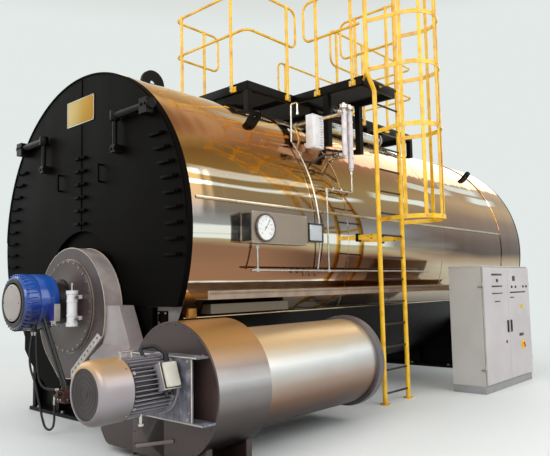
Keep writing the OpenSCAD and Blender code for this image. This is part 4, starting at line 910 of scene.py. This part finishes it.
# The terminal box has its own frame, tilted about the motor's axis, whose X points outward.
tilt = Matrix.Translation(motor_at(-0.755)) @ Matrix.Rotation(math.radians(-20), 4, "Y")
terminal_paint = coat("terminal_paint", (196, 192, 178), 0.4, mottle=0.08, scale=9)
block((0.16, -0.073, -0.1), (0.262, 0.073, 0.1), 0.01, within=tilt)
piece("terminal_housing", fin_paint, replaces=["terminal_box"])
block((0.264, -0.062, -0.09), (0.285, 0.062, 0.09), 0.009, within=tilt)
piece("terminal_lid", terminal_paint)
block((0.256, -0.075, -0.1025), (0.262, 0.075, -0.094), 0.002, within=tilt)
block((0.256, -0.075, -0.1), (0.262, -0.067, 0.1), 0.002, within=tilt)
piece("terminal_rim", worn_edge)
block((0.26, -0.067, -0.095), (0.266, 0.067, 0.095), 0.001, within=tilt)
for y, (low, high, radius) in product((-0.035, 0.035), ((-0.1, -0.12, 0.018), (-0.118, -0.14, 0.014))):
    rod(tilt @ Vector((0.215, y, low)), tilt @ Vector((0.215, y, high)), radius, 12)
piece("terminal_gasket_glands", dark_paint)
for y, z in product((-0.052, 0.052), (-0.08, 0.08)):
    rod(tilt @ Vector((0.284, y, z)), tilt @ Vector((0.2875, y, z)), 0.006, 10)
piece("terminal_screws", zinc)

# Intake silencer: a long drum of brushed sheet behind the fan, and a grey end ring through
# whose mesh the air comes in.
silencer_r, silencer_l = 0.43, 1.66
# Painted light by height: brown painted shade low down, a near-white painted highlight band, and golden
# painted sheen on top.
silencer_sheet = brushed(
    "brushed_silencer_sheet", (1.6, 0.02, 1.6), 0.34,
    (0.18, 44, 31, 26), (0.3, 78, 57, 47), (0.42, 128, 98, 80), (0.56, 176, 156, 142), (0.68, 214, 212, 210),
    (0.75, 246, 244, 242), (0.83, 222, 212, 196), (0.92, 244, 218, 178), (1.04, 250, 222, 176))
lathe((fan_x, fan_back, fan_z), BACK, (
    (0, 0), (silencer_r + 0.012, 0), (silencer_r + 0.012, 0.02), (silencer_r, 0.026), (silencer_r, 0.03),
    (silencer_r, silencer_l), (0, silencer_l)), 128)
piece("silencer_drum", silencer_sheet, replaces=["inlet_silencer"], crease=40)
ring_place, mesh_r = (fan_x, fan_back + silencer_l, fan_z), 0.352
lathe(ring_place, BACK, (
    (0.3, 0), (0.46, 0), (0.466, 0.006), (0.466, 0.084), (0.46, 0.09), (0.36, 0.09), (mesh_r, 0.08),
    (mesh_r, 0.06), (0.3, 0.06), (0.3, 0)), 96)
piece("silencer_end_ring", coat("ring_paint", (104, 97, 99), 0.4, 0.3, mottle=0.08, scale=8))
lathe(ring_place, BACK, disc(0.33, 0.01, 0.058))
for number in range(11):
    offset = -0.3 + number * 0.06
    reach = math.sqrt(mesh_r**2 - offset**2)
    for x, z, y in ((0, reach, 0.066), (reach, 0, 0.073)):
        middle = Vector(ring_place) + Vector((offset * (x == 0), y, offset * (z == 0)))
        rod(middle - Vector((x, 0, z)), middle + Vector((x, 0, z)), 0.004, 6)
piece("silencer_mesh", dark_paint, replaces=["silencer_ring"])

# Gauge panel: a folded stainless box on the shell's right side with a pressure gauge, a dark
# end hatch and a small display. Its face stays bare, apart from the gauge's dial.
panel_steel = coat("panel_steel", (150, 136, 122), 0.34, 0.6, mottle=0.05, scale=2)
black_plastic = coat("black_plastic", (22, 22, 24), 0.35, mottle=0.1, scale=20)
panel_x, panel_y, panel_end, panel_low, panel_high = 1.95, 0.61, 1.44, 1.82, 2.13
screen_front, screen_back, screen_low, screen_high, border = 1.46, 1.71, 1.862, 2.062, 0.016
dress(panel_steel, "gauge_panel")
block((1.815, panel_y - 0.006, panel_low + 0.02), (1.935, panel_y + 0.001, panel_high - 0.02), 0.002)
for z in (panel_low + 0.05, panel_high - 0.13):
    block((1.83, panel_y - 0.012, z), (1.92, panel_y - 0.004, z + 0.08), 0.003)
for z in (screen_low, screen_high - border):
    block((panel_x, screen_front, z), (panel_x + 0.012, screen_back, z + border), 0.002)
for y in (screen_front, screen_back - border):
    block((panel_x, y, screen_low), (panel_x + 0.012, y + border, screen_high), 0.002)
piece("panel_black_parts", black_plastic)
block((panel_x, screen_front + 0.014, screen_low + 0.014),
      (panel_x + 0.006, screen_back - 0.014, screen_high - 0.014), 0.001)
piece("panel_display", coat("display_screen", (176, 182, 186), 0.12, mottle=0.04, clear=0.8))
pins(product((panel_x,), (panel_y + 0.015, panel_end - 0.015), (panel_low + 0.015, panel_high - 0.015)),
     (0.004, 0, 0), 0.006, 12, 0.004)
pins(product((panel_x - 0.001,), (panel_y,), (panel_low + 0.003, panel_high - 0.003)),
     (0, panel_end - panel_y, 0), 0.003, 8)
piece("panel_screws", tube_steel)

dial_y, dial_z, dial_r, dial_t = 0.79, 1.972, 0.14, 0.026
dial_place, marks_place = (panel_x, dial_y, dial_z), Vector((panel_x + 0.0155, dial_y, dial_z))
dial_white = coat("dial_enamel", (238, 238, 236), 0.3, mottle=0.03, scale=8)
lathe(dial_place, RIGHT, (
    (0, 0), (dial_r, 0), (dial_r, dial_t - 0.006), (dial_r - 0.006, dial_t), (dial_r - 0.014, dial_t),
    (dial_r - 0.018, dial_t - 0.012), (0, dial_t - 0.012)), 64)
piece("gauge_bezel", coat("bezel_steel", (112, 104, 100), 0.3, 0.8, scale=20))
lathe(dial_place, RIGHT, disc(0.121, 0.012, 0.0155), 64)
piece("gauge_face", dial_white, replaces=["gauge_dial"])
for number in range(41):
    turn = Matrix.Rotation(math.radians(135 - number * 6.75), 4, "X")
    reach, wide = (0.0095, 0.0016) if number % 5 == 0 else (0.005, 0.0007)
    centre = marks_place + turn @ Vector((0, 0, 0.113 - reach))
    block(centre - Vector((0.0004, wide, reach)), centre + Vector((0.0006, wide, reach)), 0, turn)
for number in range(9):
    a = math.radians(225 - number * 33.75)
    letters = bpy.data.curves.new("number", "FONT")
    letters.body, letters.size, letters.extrude = str(number * 2), 0.024, 0.0003
    letters.align_x = letters.align_y = "CENTER"
    text = bpy.data.meshes.new_from_object(bpy.data.objects.new("number", letters))
    at = marks_place + Vector((0.0003, 0.078 * math.cos(a), 0.078 * math.sin(a)))
    facing = Matrix.Rotation(math.pi / 2, 4, "Z") @ Matrix.Rotation(math.pi / 2, 4, "X")
    text.transform(Matrix.Translation(at) @ facing)
    shape.from_mesh(text)
    bpy.data.meshes.remove(text)
needle = Matrix.Rotation(math.radians(-38), 4, "X")
slab(marks_place + Vector((0.003, 0, 0)) + needle @ Vector((0, 0, 0.028)), (0.0007, 0.0026, 0.066), 0, needle)
lathe(marks_place, RIGHT, ((0, 0.0005), (0.009, 0.0005), (0.009, 0.0045), (0, 0.005)), 20)
piece("gauge_marks_and_needle", black_plastic)
mix = Mix("gauge_glass")
glass = mix.finish(Base_Color=(1, 1, 1, 1), Roughness=0.03 + mix.noise(20) * 0.01, Alpha=0.08)
lathe(dial_place, RIGHT, disc(0.123, 0.0215, 0.0235))
piece("gauge_glass", glass)

# Impulse pipes: thin stainless tube from the gauges to a header along the shell, with
# compression fittings at the joints and small isolating valves under the header.
pipe_r, header_x, header_z, header_end, drop_y, hook_y = 0.01, 1.84, 1.56, 4.263, 1.95, 1.81
hook_top, hook_low = 3.54, 3.41
arc = [Vector((0, hook_y, shell_axis)) + upright(math.radians(a), shell_radius + pipe_r + 0.022)
       for a in range(-13, 39, 3)]
hook_x = arc[-1].x + 0.01
tube(((header_x, dial_y, panel_low), (header_x, dial_y, header_z)), pipe_r)
tube(((header_x, panel_y + 0.09, header_z), (header_x, header_end, header_z)), 0.0115)
tube(((header_x, drop_y, header_z), (header_x, drop_y, 2.5)), pipe_r)
tube(((header_x, hook_y, header_z), *arc, (hook_x, hook_y, hook_top), (hook_x + 0.095, hook_y, hook_top),
      (hook_x + 0.095, hook_y, hook_low)), pipe_r, 0.03)
for y in (panel_y + 0.3, drop_y + 0.1, header_end - 1, header_end - 0.1):
    rod((shell_x(header_z) + 0.001, y, header_z), (header_x, y, header_z), 0.006, 10)
for x, y, z, way in (
    (header_x, dial_y, header_z, UP), (header_x, drop_y, header_z, UP), (header_x, hook_y, header_z, BACK),
    (hook_x + 0.095, hook_y, hook_low, UP), (header_x, dial_y, panel_low - 0.03, UP),
    (header_x, drop_y, 2.47, UP),
):
    half = Vector(way) * 0.016
    rod(Vector((x, y, z)) - half, Vector((x, y, z)) + half, 0.0165, 6)
piece("impulse_tubes", tube_steel, replaces=["impulse_pipes"])
for y in (1.5, 1.6, 1.7):
    rod((header_x, y, header_z), (header_x, y, header_z - 0.03), 0.009, 10)
    lathe((header_x, y, header_z - 0.03), DOWN, (
        (0, 0), (0.013, 0), (0.013, 0.012), (0.02, 0.016), (0.02, 0.026), (0.01, 0.03), (0, 0.03)), 16)
brass = coat("tarnished_brass", (150, 104, 84), 0.42, 0.8, mottle=0.35, scale=16)
piece("header_valves", brass)

# Level gear: two white columns on nozzles through the cladding, with flanged tops and spoked
# handwheels, and a white scale box beside them with bare graduations.
column_x, near_column, far_column, column_r, column_top = 1.75, 2.46, 2.58, 0.033, 3.56
columns, nozzle_zs, wheel_y, drain_z = ((near_column, 2.93), (far_column, 2.79)), (3.5, 2.962), 2.255, 2.52
column_white = coat("column_enamel", (222, 216, 220), 0.3, mottle=0.1, scale=9, clear=0.3)
for y, low in columns:
    height = column_top - low
    lathe((column_x, y, low), UP, (
        (0, 0), (0.02, 0), (0.024, 0.008), (0.024, 0.03), (column_r, 0.036), (column_r, height - 0.03),
        (0.024, height - 0.024), (0.024, height), (0, height)), 32)
    for z in (low + 0.16, low + 0.36, column_top - 0.16):
        lathe((column_x, y, z), UP, (
            (0.03, 0), (column_r + 0.006, 0.002), (column_r + 0.006, 0.012), (0.03, 0.014), (0.03, 0)), 32)
piece("level_tubes", column_white)
for y, low in columns:
    lathe((column_x, y, column_top), UP, (
        (0, 0), (0.056, 0), (0.058, 0.003), (0.058, 0.018), (0.05, 0.02), (0.05, 0.024), (0.058, 0.026),
        (0.058, 0.04), (0.02, 0.044), (0.02, 0.068), (0, 0.07)), 32)
    pins(circle((column_x, y, column_top - 0.008), UP, 0.044, 4), (0, 0, 0.058), 0.006, 6)
for z in nozzle_zs:
    foot = shell_x(z)
    rod((foot - 0.05, near_column, z), (column_x, near_column, z), 0.022, 20)
    rod((foot - 0.03, near_column, z), (foot + 0.05, near_column, z), 0.034, 20)
    rod((column_x, wheel_y, z), (column_x, near_column, z), 0.015)
    lathe((column_x, near_column - 0.05, z), AHEAD, (
        (0, 0), (0.026, 0), (0.03, 0.01), (0.03, 0.05), (0.024, 0.06), (0.024, 0.085), (0.018, 0.095),
        (0, 0.095)), 24)
    rod((column_x, near_column - 0.08, z), (column_x, near_column - 0.1, z), 0.034, 6)
pins(product((column_x,), (near_column,), (3.38, 3.02)), (0, far_column - near_column, 0), 0.014)
tube(((column_x, far_column, 2.795), (column_x, far_column, drain_z), (column_x, drop_y + 0.06, drain_z),
      (header_x - 0.012, drop_y + 0.01, drain_z - 0.033)), pipe_r, 0.03)
pins(product((column_x,), (far_column,), (2.744, 2.544)), (0, 0, 0.032), 0.0175, 6)
for y in (2.2, 2.36):
    rod((column_x, y - 0.02, drain_z), (column_x, y + 0.02, drain_z), 0.0175, 6)
    rod((column_x, y, drain_z), (column_x, y, drain_z + 0.035), 0.008, 10)
    rod((column_x - 0.03, y, drain_z + 0.035), (column_x + 0.03, y, drain_z + 0.035), 0.006, 8)
piece("level_fittings", tube_steel, replaces=["level_columns"])
for z in nozzle_zs:
    hub, part = Vector((column_x, wheel_y + 0.008, z)), bmesh.new()
    bmesh.ops.create_circle(
        part, cap_ends=False, segments=12, radius=0.0065,
        matrix=Matrix.Translation(hub + Vector((0.046, 0, 0))))
    bmesh.ops.spin(part, geom=part.verts[:] + part.edges[:], cent=hub, axis=BACK,
                   angle=2 * math.pi, steps=32, use_merge=True)
    bmesh.ops.remove_doubles(part, verts=part.verts, dist=1e-5)
    add_part(part)
    for end in circle(hub, AHEAD, 0.044, 5, 0):
        rod(hub, end, 0.0045, 8)
    rod((column_x, wheel_y, z), (column_x, wheel_y + 0.016, z), 0.012, 12)
tube(((1.55, 1.985, 2.82), (1.6, 1.99, 2.835), (1.69, 2.1, 2.93), (1.725, 2.262, 2.958)), 0.012, 0.08)
piece("handwheels", dark_paint)

box_low, box_high = Vector((1.49, 2.03, 3.035)), Vector((1.6, 2.24, 3.445))
block(box_low, box_high, 0.006)
block((1.4, 2.1, 3.065), (1.5, 2.17, 3.125), 0.004)
piece("level_scale_box", white, replaces=["level_box"])
for number in range(11):
    z = box_low.z + 0.04 + number * 0.033
    reach = 0.05 if number % 5 == 0 else 0.032
    end = box_high.y - 0.03
    block((box_high.x, end - reach, z - 0.0025), (box_high.x + 0.0015, end, z + 0.0025))
pins(product((box_high.x,), (box_low.y + 0.015, box_high.y - 0.015), (box_low.z + 0.015, box_high.z - 0.015)),
     (0.003, 0, 0), 0.005, 10)
piece("level_scale_marks", dark_paint)

# Steam outlet: the pipe that leaves the crown under the landing, in bright lagging sheet with
# clamped bands, and a steel flange at its end. The manhole stands ahead of it.
steam_x, steam_r, steam_start, steam_end = 0.93, 0.073, 3.0, 4.48
steam_z = shell_axis + math.sqrt((shell_radius + 0.106) ** 2 - steam_x**2)
tube(((steam_x * 0.92, steam_start, shell_axis + (steam_z - shell_axis) * 0.92),
      (steam_x, steam_start, steam_z), (steam_x, steam_end - 0.06, steam_z)), steam_r - 0.001, 0.09, 6)
for y in (3.15, 3.45, 3.75, 4.05, 4.35):
    lathe((steam_x, y, steam_z), BACK, ring(0.07, 0.076, 0, 0.02), 40)
lagging = coat("lagging_sheet", (226, 226, 224), 0.22, 1.0, mottle=0.08, scale=5)
piece("steam_lagging", lagging)
lathe((steam_x, steam_end, steam_z), BACK, (
    (0.04, -0.3), (0.04, 0), (0.1, 0), (0.1, -0.022), (0.066, -0.022), (0.054, -0.05), (0.054, -0.3),
    (0.04, -0.3)))
lathe((steam_x, 3.9, steam_z), BACK, ring(0.07, 0.0865, 0, 0.03))
piece("steam_flange_ring", tube_steel, replaces=["steam_pipe"])
for seat in circle((steam_x, steam_end - 0.0225, steam_z), AHEAD, 0.08, 8):
    lathe(seat, AHEAD, ring(0.0095, 0.014, 0, 0.002), 14)
piece("steam_flange_seats", zinc)

dress(black_steel, "manhole")
manhole = (0, 2.25, shell_axis + shell_radius + 0.095)
bolts(circle(manhole, UP, 0.26, 16), UP, 0.018)
grab_handle(manhole, (0.08, 0, 0), (0, 0, 0.03), 0.008, 0.009)
piece("manhole_bolts", black_steel)

# Cable tray: a perforated zinc tray on the right side that takes the wiring back to the
# cabinet, and a plain trunk below its front end.
mix = Mix("galvanised_sheet")
spangle = mix.noise(8)
zinc_tone = mix.tones(spangle, (154, 132, 116), (176, 152, 134))
galvanised = mix.finish(
    mix.noise(60), 0.0003, Roughness=0.34 + (spangle - 0.5) * 0.1, Metallic=0.7,
    Base_Color=mix.between(mix.axis("Z") < 1.27, zinc_tone, colour(116, 105, 92)))
dress(galvanised, "cable_tray")
tray_x, tray_high = 1.85, 1.365
for number in range(190):
    y = 0.16 + number * 0.0265
    block((tray_x - 0.001, y, tray_high - 0.032), (tray_x + 0.001, y + 0.012, tray_high - 0.014))
piece("tray_slots", coat("slot_shadow", (98, 80, 70), 0.6))
tube(((tray_x - 0.003, 0.13, tray_high), (tray_x - 0.003, 5.2, tray_high)), 0.005)
piece("tray_edge", bright_strip)
block((1.6, 0.07, drip_high - 0.01), (1.656, 0.16, drip_high + 0.08), 0.003)
piece("drip_edge_bracket", coat("bracket_brass", (176, 122, 58), 0.4, 0.6, scale=12))

# Walkway and landing: welded channel frames on edge with an open bar grating between them,
# on short legs that stand on the shell.
grating_paint = coat("grating_paint", (32, 29, 28), 0.5, mottle=0.15, scale=8)
deck_top, deck_under, web, flange_w = 4.03, 3.91, 0.01, 0.05
for name, x0, y0, x1, y1 in (("walkway", -0.7, 1.85, 0.7, 6.01), ("landing", 0.7, 2.75, 1.85, 3.56)):
    for w, top in ((web, deck_top), (flange_w, deck_under + web)):
        for low_x, low_y, high_x, high_y in (
            (x0, y0, x1, y0 + w), (x0, y1 - w, x1, y1), (x0, y0, x0 + w, y1), (x1 - w, y0, x1, y1),
        ):
            block((low_x, low_y, deck_under), (high_x, high_y, top), 0.002)
    bays = int(y1 - y0) + 1
    for number in range(1, bays):
        y = y0 + number * (y1 - y0) / bays
        block((x0 + web, y - 0.004, deck_under + 0.01), (x1 - web, y + 0.004, deck_top - 0.032), 0.001)
    piece(name + "_frame", black_steel)
    wide, long = x1 - x0 - 2 * web, y1 - y0 - 2 * web
    bearers, crossings = int(wide / 0.034), int(long / 0.1)
    for number in range(1, bearers):
        x = x0 + web + number * wide / bearers
        block((x - 0.002, y0 + web, deck_top - 0.03), (x + 0.002, y1 - web, deck_top - 0.003))
    for number in range(1, crossings):
        y = y0 + web + number * long / crossings
        rod((x0 + web, y, deck_top - 0.006), (x1 - web, y, deck_top - 0.006), 0.003, 6)
    piece(name + "_grating", grating_paint, replaces=[name + "_deck"])
dress(black_steel, "platform_legs")

# Handrails: bent and welded tube in safety yellow, bolted through small foot plates to the
# channels of the decks.
mix = Mix("safety_yellow")
worn = mix.noise(8, 5)
yellow = mix.finish(
    mix.noise(60), 0.0004, Roughness=0.32 + (worn - 0.5) * 0.25, Coat_Weight=0.25,
    Base_Color=mix.ramp(worn, (0.25, 205, 142, 14), (0.5, 240, 186, 34), (0.75, 250, 204, 60)))
dress(yellow, "rail_front_end", "rail_front_left", "rail_front_right", "rail_rear_left", "rail_rear_end",
      "rail_rear_right", "landing_rail_front", "landing_rail_rear", "ladder_brackets", "ladder_cage")
foot_z, walk_x, walk_front, walk_back, corner_y = 3.96, 0.724, 1.826, 6.034, 5.864
posts = [(x, y, way) for y, way in ((walk_front, AHEAD), (walk_back, BACK)) for x in (-0.575, 0.43)]
posts += [(-walk_x, 2.376, LEFT), (walk_x, 2.606, RIGHT)]
posts += [(-walk_x, corner_y - d, LEFT) for d in (0.7, 1.63)]
posts += [(walk_x, corner_y - d, RIGHT) for d in (0.7, 1.4, 2.1)]
posts += [(1.84 - d, 2.726, AHEAD) for d in (0.13, 0.7)] + [(1.84 - d, 3.584, BACK) for d in (0.13, 0.65)]
for x, y, way in posts:
    for z in (foot_z - 0.02, foot_z + 0.02):
        bolt(Vector((x, y, z)) + Vector(way) * 0.021, way, 0.011)
piece("post_bolts", zinc)
knuckle = ((0.02, 0), (0.0255, 0.004), (0.0255, 0.042), (0.02, 0.046), (0.02, 0))
for x, y, way in posts:
    for z in (5.24, 4.7):
        lathe((x, y, z - 0.03), UP, knuckle, 20)
    lathe((x, y, 5.255), UP, ((0, 0), (0.0215, 0), (0.018, 0.001), (0, 0.002)), 20)
piece("rail_knuckles", yellow)

# Ladder and cage: round stiles with dark rungs, one stile stepped forward to clear the
# landing, and flat hoops and bars welded and bolted into a cage round the climber.
ladder_x, near_y, far_y, up_y = 2.1, 2.614, 3.142, 2.464
stile_r, rail_top, step_low, step_high = 0.028, 5.24, 3.74, 3.93
tube([(ladder_x, y, z) for y, z in ((near_y, 0), (near_y, step_low), (up_y, step_high), (up_y, rail_top))],
     stile_r, 0.1, 5)
tube(((ladder_x, far_y, 0), (ladder_x, far_y, rail_top)), stile_r, 0.1, 5)
for y in (near_y, far_y):
    lathe((ladder_x, y, 0), UP, (
        (0.026, 0), (0.06, 0), (0.06, 0.01), (0.058, 0.012), (0.026, 0.012), (0.026, 0)), 32)
piece("ladder_stiles", yellow)
rung_steel = coat("rung_steel", (58, 46, 36), 0.45, 0.4, mottle=0.3, scale=18)
for number in range(15):
    z = 0.121 + number * 0.266
    y = near_y - (near_y - up_y) * min(1, max(0, (z - step_low) / (step_high - step_low)))
    rod((ladder_x, y, z), (ladder_x, far_y, z), 0.012, 14)
piece("ladder_rungs", rung_steel, replaces=["ladder"])
for z, degrees in product((2.16, 3.23, 3.96, 4.56, 5.19), (-80, -40, 0, 40, 80)):
    out = Matrix.Rotation(math.radians(degrees), 3, "Z") @ Vector(RIGHT)
    bolt(Vector((2.45, 2.878, z)) + out * 0.344, out, 0.009)
piece("cage_bolts", zinc)
for y in (near_y, far_y):
    pins(((ladder_x - 0.1, y - 0.024, z) for z in (1.945, 1.989)), (0, 0.048, 0), 0.008, 6)
    block((1.795, y - 0.045, 1.917), (1.812, y + 0.045, 2.017), 0.003)
piece("bracket_pads", black_steel)

# Control cabinet: a folded and powder-coated steel cabinet on a grey plinth, with two doors on
# lift-off hinges, dark indicators, a lock and a rotary main switch.
mix = Mix("cabinet_powder_coat")
cloud = mix.noise(2)
# The near side, facing the front, is a greyer copy of the coat: painted shade.
pale, shaded = (
    mix.tones(cloud, (184, 177, 177), (198, 191, 191)), mix.tones(cloud, (174, 172, 167), (188, 186, 181)))
cabinet_paint = mix.finish(
    mix.noise(70), 0.0003, Base_Color=mix.between(mix.axis("Y") < 3.87, pale, shaded),
    Roughness=0.42 + (cloud - 0.5) * 0.1)
cab_x, cab_y, cab_end, cab_top = 2.345, 3.863, 5.431, 1.59
dress(cabinet_paint, "cabinet_body", "cabinet_door_near", "cabinet_door_far")
dress(tube_steel, "cabinet_hinges")
block((cab_x - 0.004, cab_y - 0.004, 0.0), (2.785, cab_end + 0.004, 0.096), 0.003)
piece("cabinet_plinth_skirt", coat("plinth_paint", (150, 148, 150), 0.45, mottle=0.06))
block((cab_x - 0.006, cab_y - 0.006, cab_top - 0.002), (2.79, cab_end + 0.006, cab_top + 0.012), 0.004)
piece("cabinet_roof", cabinet_paint)
block((2.372, 3.95, 0.2), (2.376, 5.34, 1.5), 0.001)
piece("cabinet_mounting_plate", galvanised)
for row, z in enumerate((0.45, 0.8, 1.15)):
    block((2.376, 4.02, z), (2.384, 5.27, z + 0.035), 0.002)
    for number in range(14 - row * 2):
        y = 4.06 + number * 0.08
        block((2.384, y, z - 0.03), (2.45, y + 0.054, z + 0.055), 0.004)
piece("cabinet_switchgear", coat("switchgear_plastic", (70, 72, 78), 0.4))

face_x, mid_y, handle_z = 2.807, (cab_y + cab_end) / 2, (0.72, 0.88)


def on_face(y0, y1, z0, z1, out=0.0015, bevel=0.0005):
    """A flat thing on the front face of a cabinet door."""
    block((face_x - 0.001, y0, z0), (face_x + out, y1, z1), bevel)


for y0, y1, z0, z1 in (
    (4.12, 4.46, 1.475, 1.5), (4.12, 4.46, 1.325, 1.345), (4.12, 4.46, 1.235, 1.25), (4.2, 4.38, 1.13, 1.145)
):
    on_face(y0, y1, z0, z1)
lathe((face_x, 4.29, 1.41), RIGHT, ((0, 0), (0.022, 0), (0.022, 0.006), (0.016, 0.014), (0, 0.016)), 24)
on_face(mid_y - 0.075, mid_y - 0.04, *handle_z, 0.016, 0.005)
piece("near_door_fittings", black_plastic, body="door_near")
lathe((face_x, 4.53, 0.6), RIGHT, ((0, 0), (0.02, 0), (0.02, 0.006), (0.012, 0.01), (0, 0.01)), 20)
piece("near_door_lock", brass, body="door_near")
for y0, y1, z0, z1 in (
    (4.82, 4.92, 1.4, 1.47), (4.72, 5.28, 1.235, 1.255), (4.72, 4.86, 1.17, 1.185), (4.98, 5.14, 0.64, 0.68)
):
    on_face(y0, y1, z0, z1)
for y in (4.78, 4.92, 5.2, 5.32):
    lathe((face_x, y, 1.32), RIGHT, ((0, 0), (0.017, 0), (0.017, 0.006), (0.012, 0.014), (0, 0.016)), 20)
on_face(mid_y + 0.04, mid_y + 0.075, *handle_z, 0.016, 0.005)
piece("far_door_fittings", black_plastic, body="door_far")
lathe((face_x, 5.1, 1.05), RIGHT, (
    (0, 0), (0.026, 0), (0.026, 0.008), (0.018, 0.01), (0.018, 0.024), (0, 0.026)), 24)
switch_y, switch_z = 5.101, 0.52
block((face_x, switch_y - 0.06, switch_z - 0.06), (face_x + 0.006, switch_y + 0.06, switch_z + 0.06), 0.003)
lathe((face_x, switch_y, switch_z), RIGHT, (
    (0, 0.005), (0.035, 0.005), (0.035, 0.014), (0.028, 0.018), (0, 0.018)), 32)
piece("switch_plate", coat("switch_yellow", (236, 190, 40), 0.35, mottle=0.04),
      body="door_far")
turn = Matrix.Rotation(math.radians(35), 4, "X")
slab(Vector((face_x + 0.022, switch_y, switch_z)), (0.008, 0.012, 0.036), 0.004, turn)
piece("switch_handle", coat("switch_red", (196, 40, 24), 0.35, mottle=0.04),
      body="door_far", replaces=["main_switch"])

# Studio: a pale floor that fades into a pale background, with a darker ceiling high above that
# only polished metal shows, one broad soft lamp over the front and softer ones at the sides.
PALE = (226, 233, 231)
world = bpy.context.scene.world or bpy.data.worlds.new("studio")
bpy.context.scene.world = world
world.use_nodes = True
world.node_tree.nodes.clear()
sky = Mix(world)
outlook = sky.node("ShaderNodeTexCoord", out="Generated")
ceiling = sky.ramp(
    sky.node("ShaderNodeSeparateXYZ", {0: outlook}, out="Z"),
    (0.0, *PALE), (0.4, *PALE), (0.5, 206, 204, 196), (0.58, 196, 180, 158), (0.7, 172, 152, 128),
    (0.76, 222, 208, 180), (0.8, 166, 146, 124), (0.9, 160, 144, 128), (1.0, 200, 190, 178))
rays = ("Camera", "Glossy", "Transmission")
shows, *others = [sky.node("ShaderNodeLightPath", out=f"Is {ray} Ray") for ray in rays]
for ray in others:
    shows = sky.node("ShaderNodeMath", {0: shows, 1: ray}, operation="ADD", use_clamp=True)
lit = sky.node("ShaderNodeBackground", {"Color": (1, 1, 1, 1), "Strength": 0.62})
seen = sky.node("ShaderNodeBackground", {"Color": ceiling})
surface = sky.tree.nodes.new("ShaderNodeOutputWorld").inputs[0]
sky.plug(surface, sky.node("ShaderNodeMixShader", {0: shows, 1: lit, 2: seen}))

mix = Mix("studio_floor")
far_off = mix.node("ShaderNodeVectorMath", {0: mix.place()}, out="Value", operation="LENGTH")
glow = mix.node("ShaderNodeEmission", {"Color": colour(*PALE), "Strength": 1.0}, out="Emission")
floor_paint = mix.finish(Base_Color=colour(232, 236, 235), Roughness=0.55 + mix.noise(3) * 0.02)
near = Wire(mix, mix.shader.outputs[0])
blend = mix.node("ShaderNodeMixShader", {0: mix.rise(far_off, 4.5, 12.0), 1: near, 2: glow})
mix.plug(mix.tree.nodes["Material Output"].inputs["Surface"], blend)
bmesh.ops.create_circle(
    shape, cap_ends=True, segments=96, radius=60, matrix=Matrix.Translation((1.0, 3.5, -0.0005)))
mesh = bpy.data.meshes.new("floor")
shape.to_mesh(mesh)
shape.free()
mesh.materials.append(floor_paint)
add_object("floor", mesh)

for name, place, target, size, power in (
    ("front_lamp", (4.5, -8.0, 8.0), (0.5, 1.0, 1.5), (9.0, 6.0), 560),
    ("side_lamp", (10.5, 3.0, 7.5), (1.0, 3.0, 2.0), (12.0, 7.0), 520),
    ("left_lamp", (-9.0, -3.0, 7.0), (0.0, 1.0, 2.0), (8.0, 8.0), 300),
    ("back_lamp", (-3.0, 15.0, 9.0), (0.0, 5.0, 2.0), (9.0, 7.0), 300),
):
    lamp = add_object(name, bpy.data.lights.new(name, "AREA"))
    lamp.data.shape, lamp.data.size, lamp.data.size_y, lamp.data.energy = "RECTANGLE", *size, power
    lamp.location = place
    lamp.rotation_euler = (Vector(target) - Vector(place)).to_track_quat("-Z", "Y").to_euler()
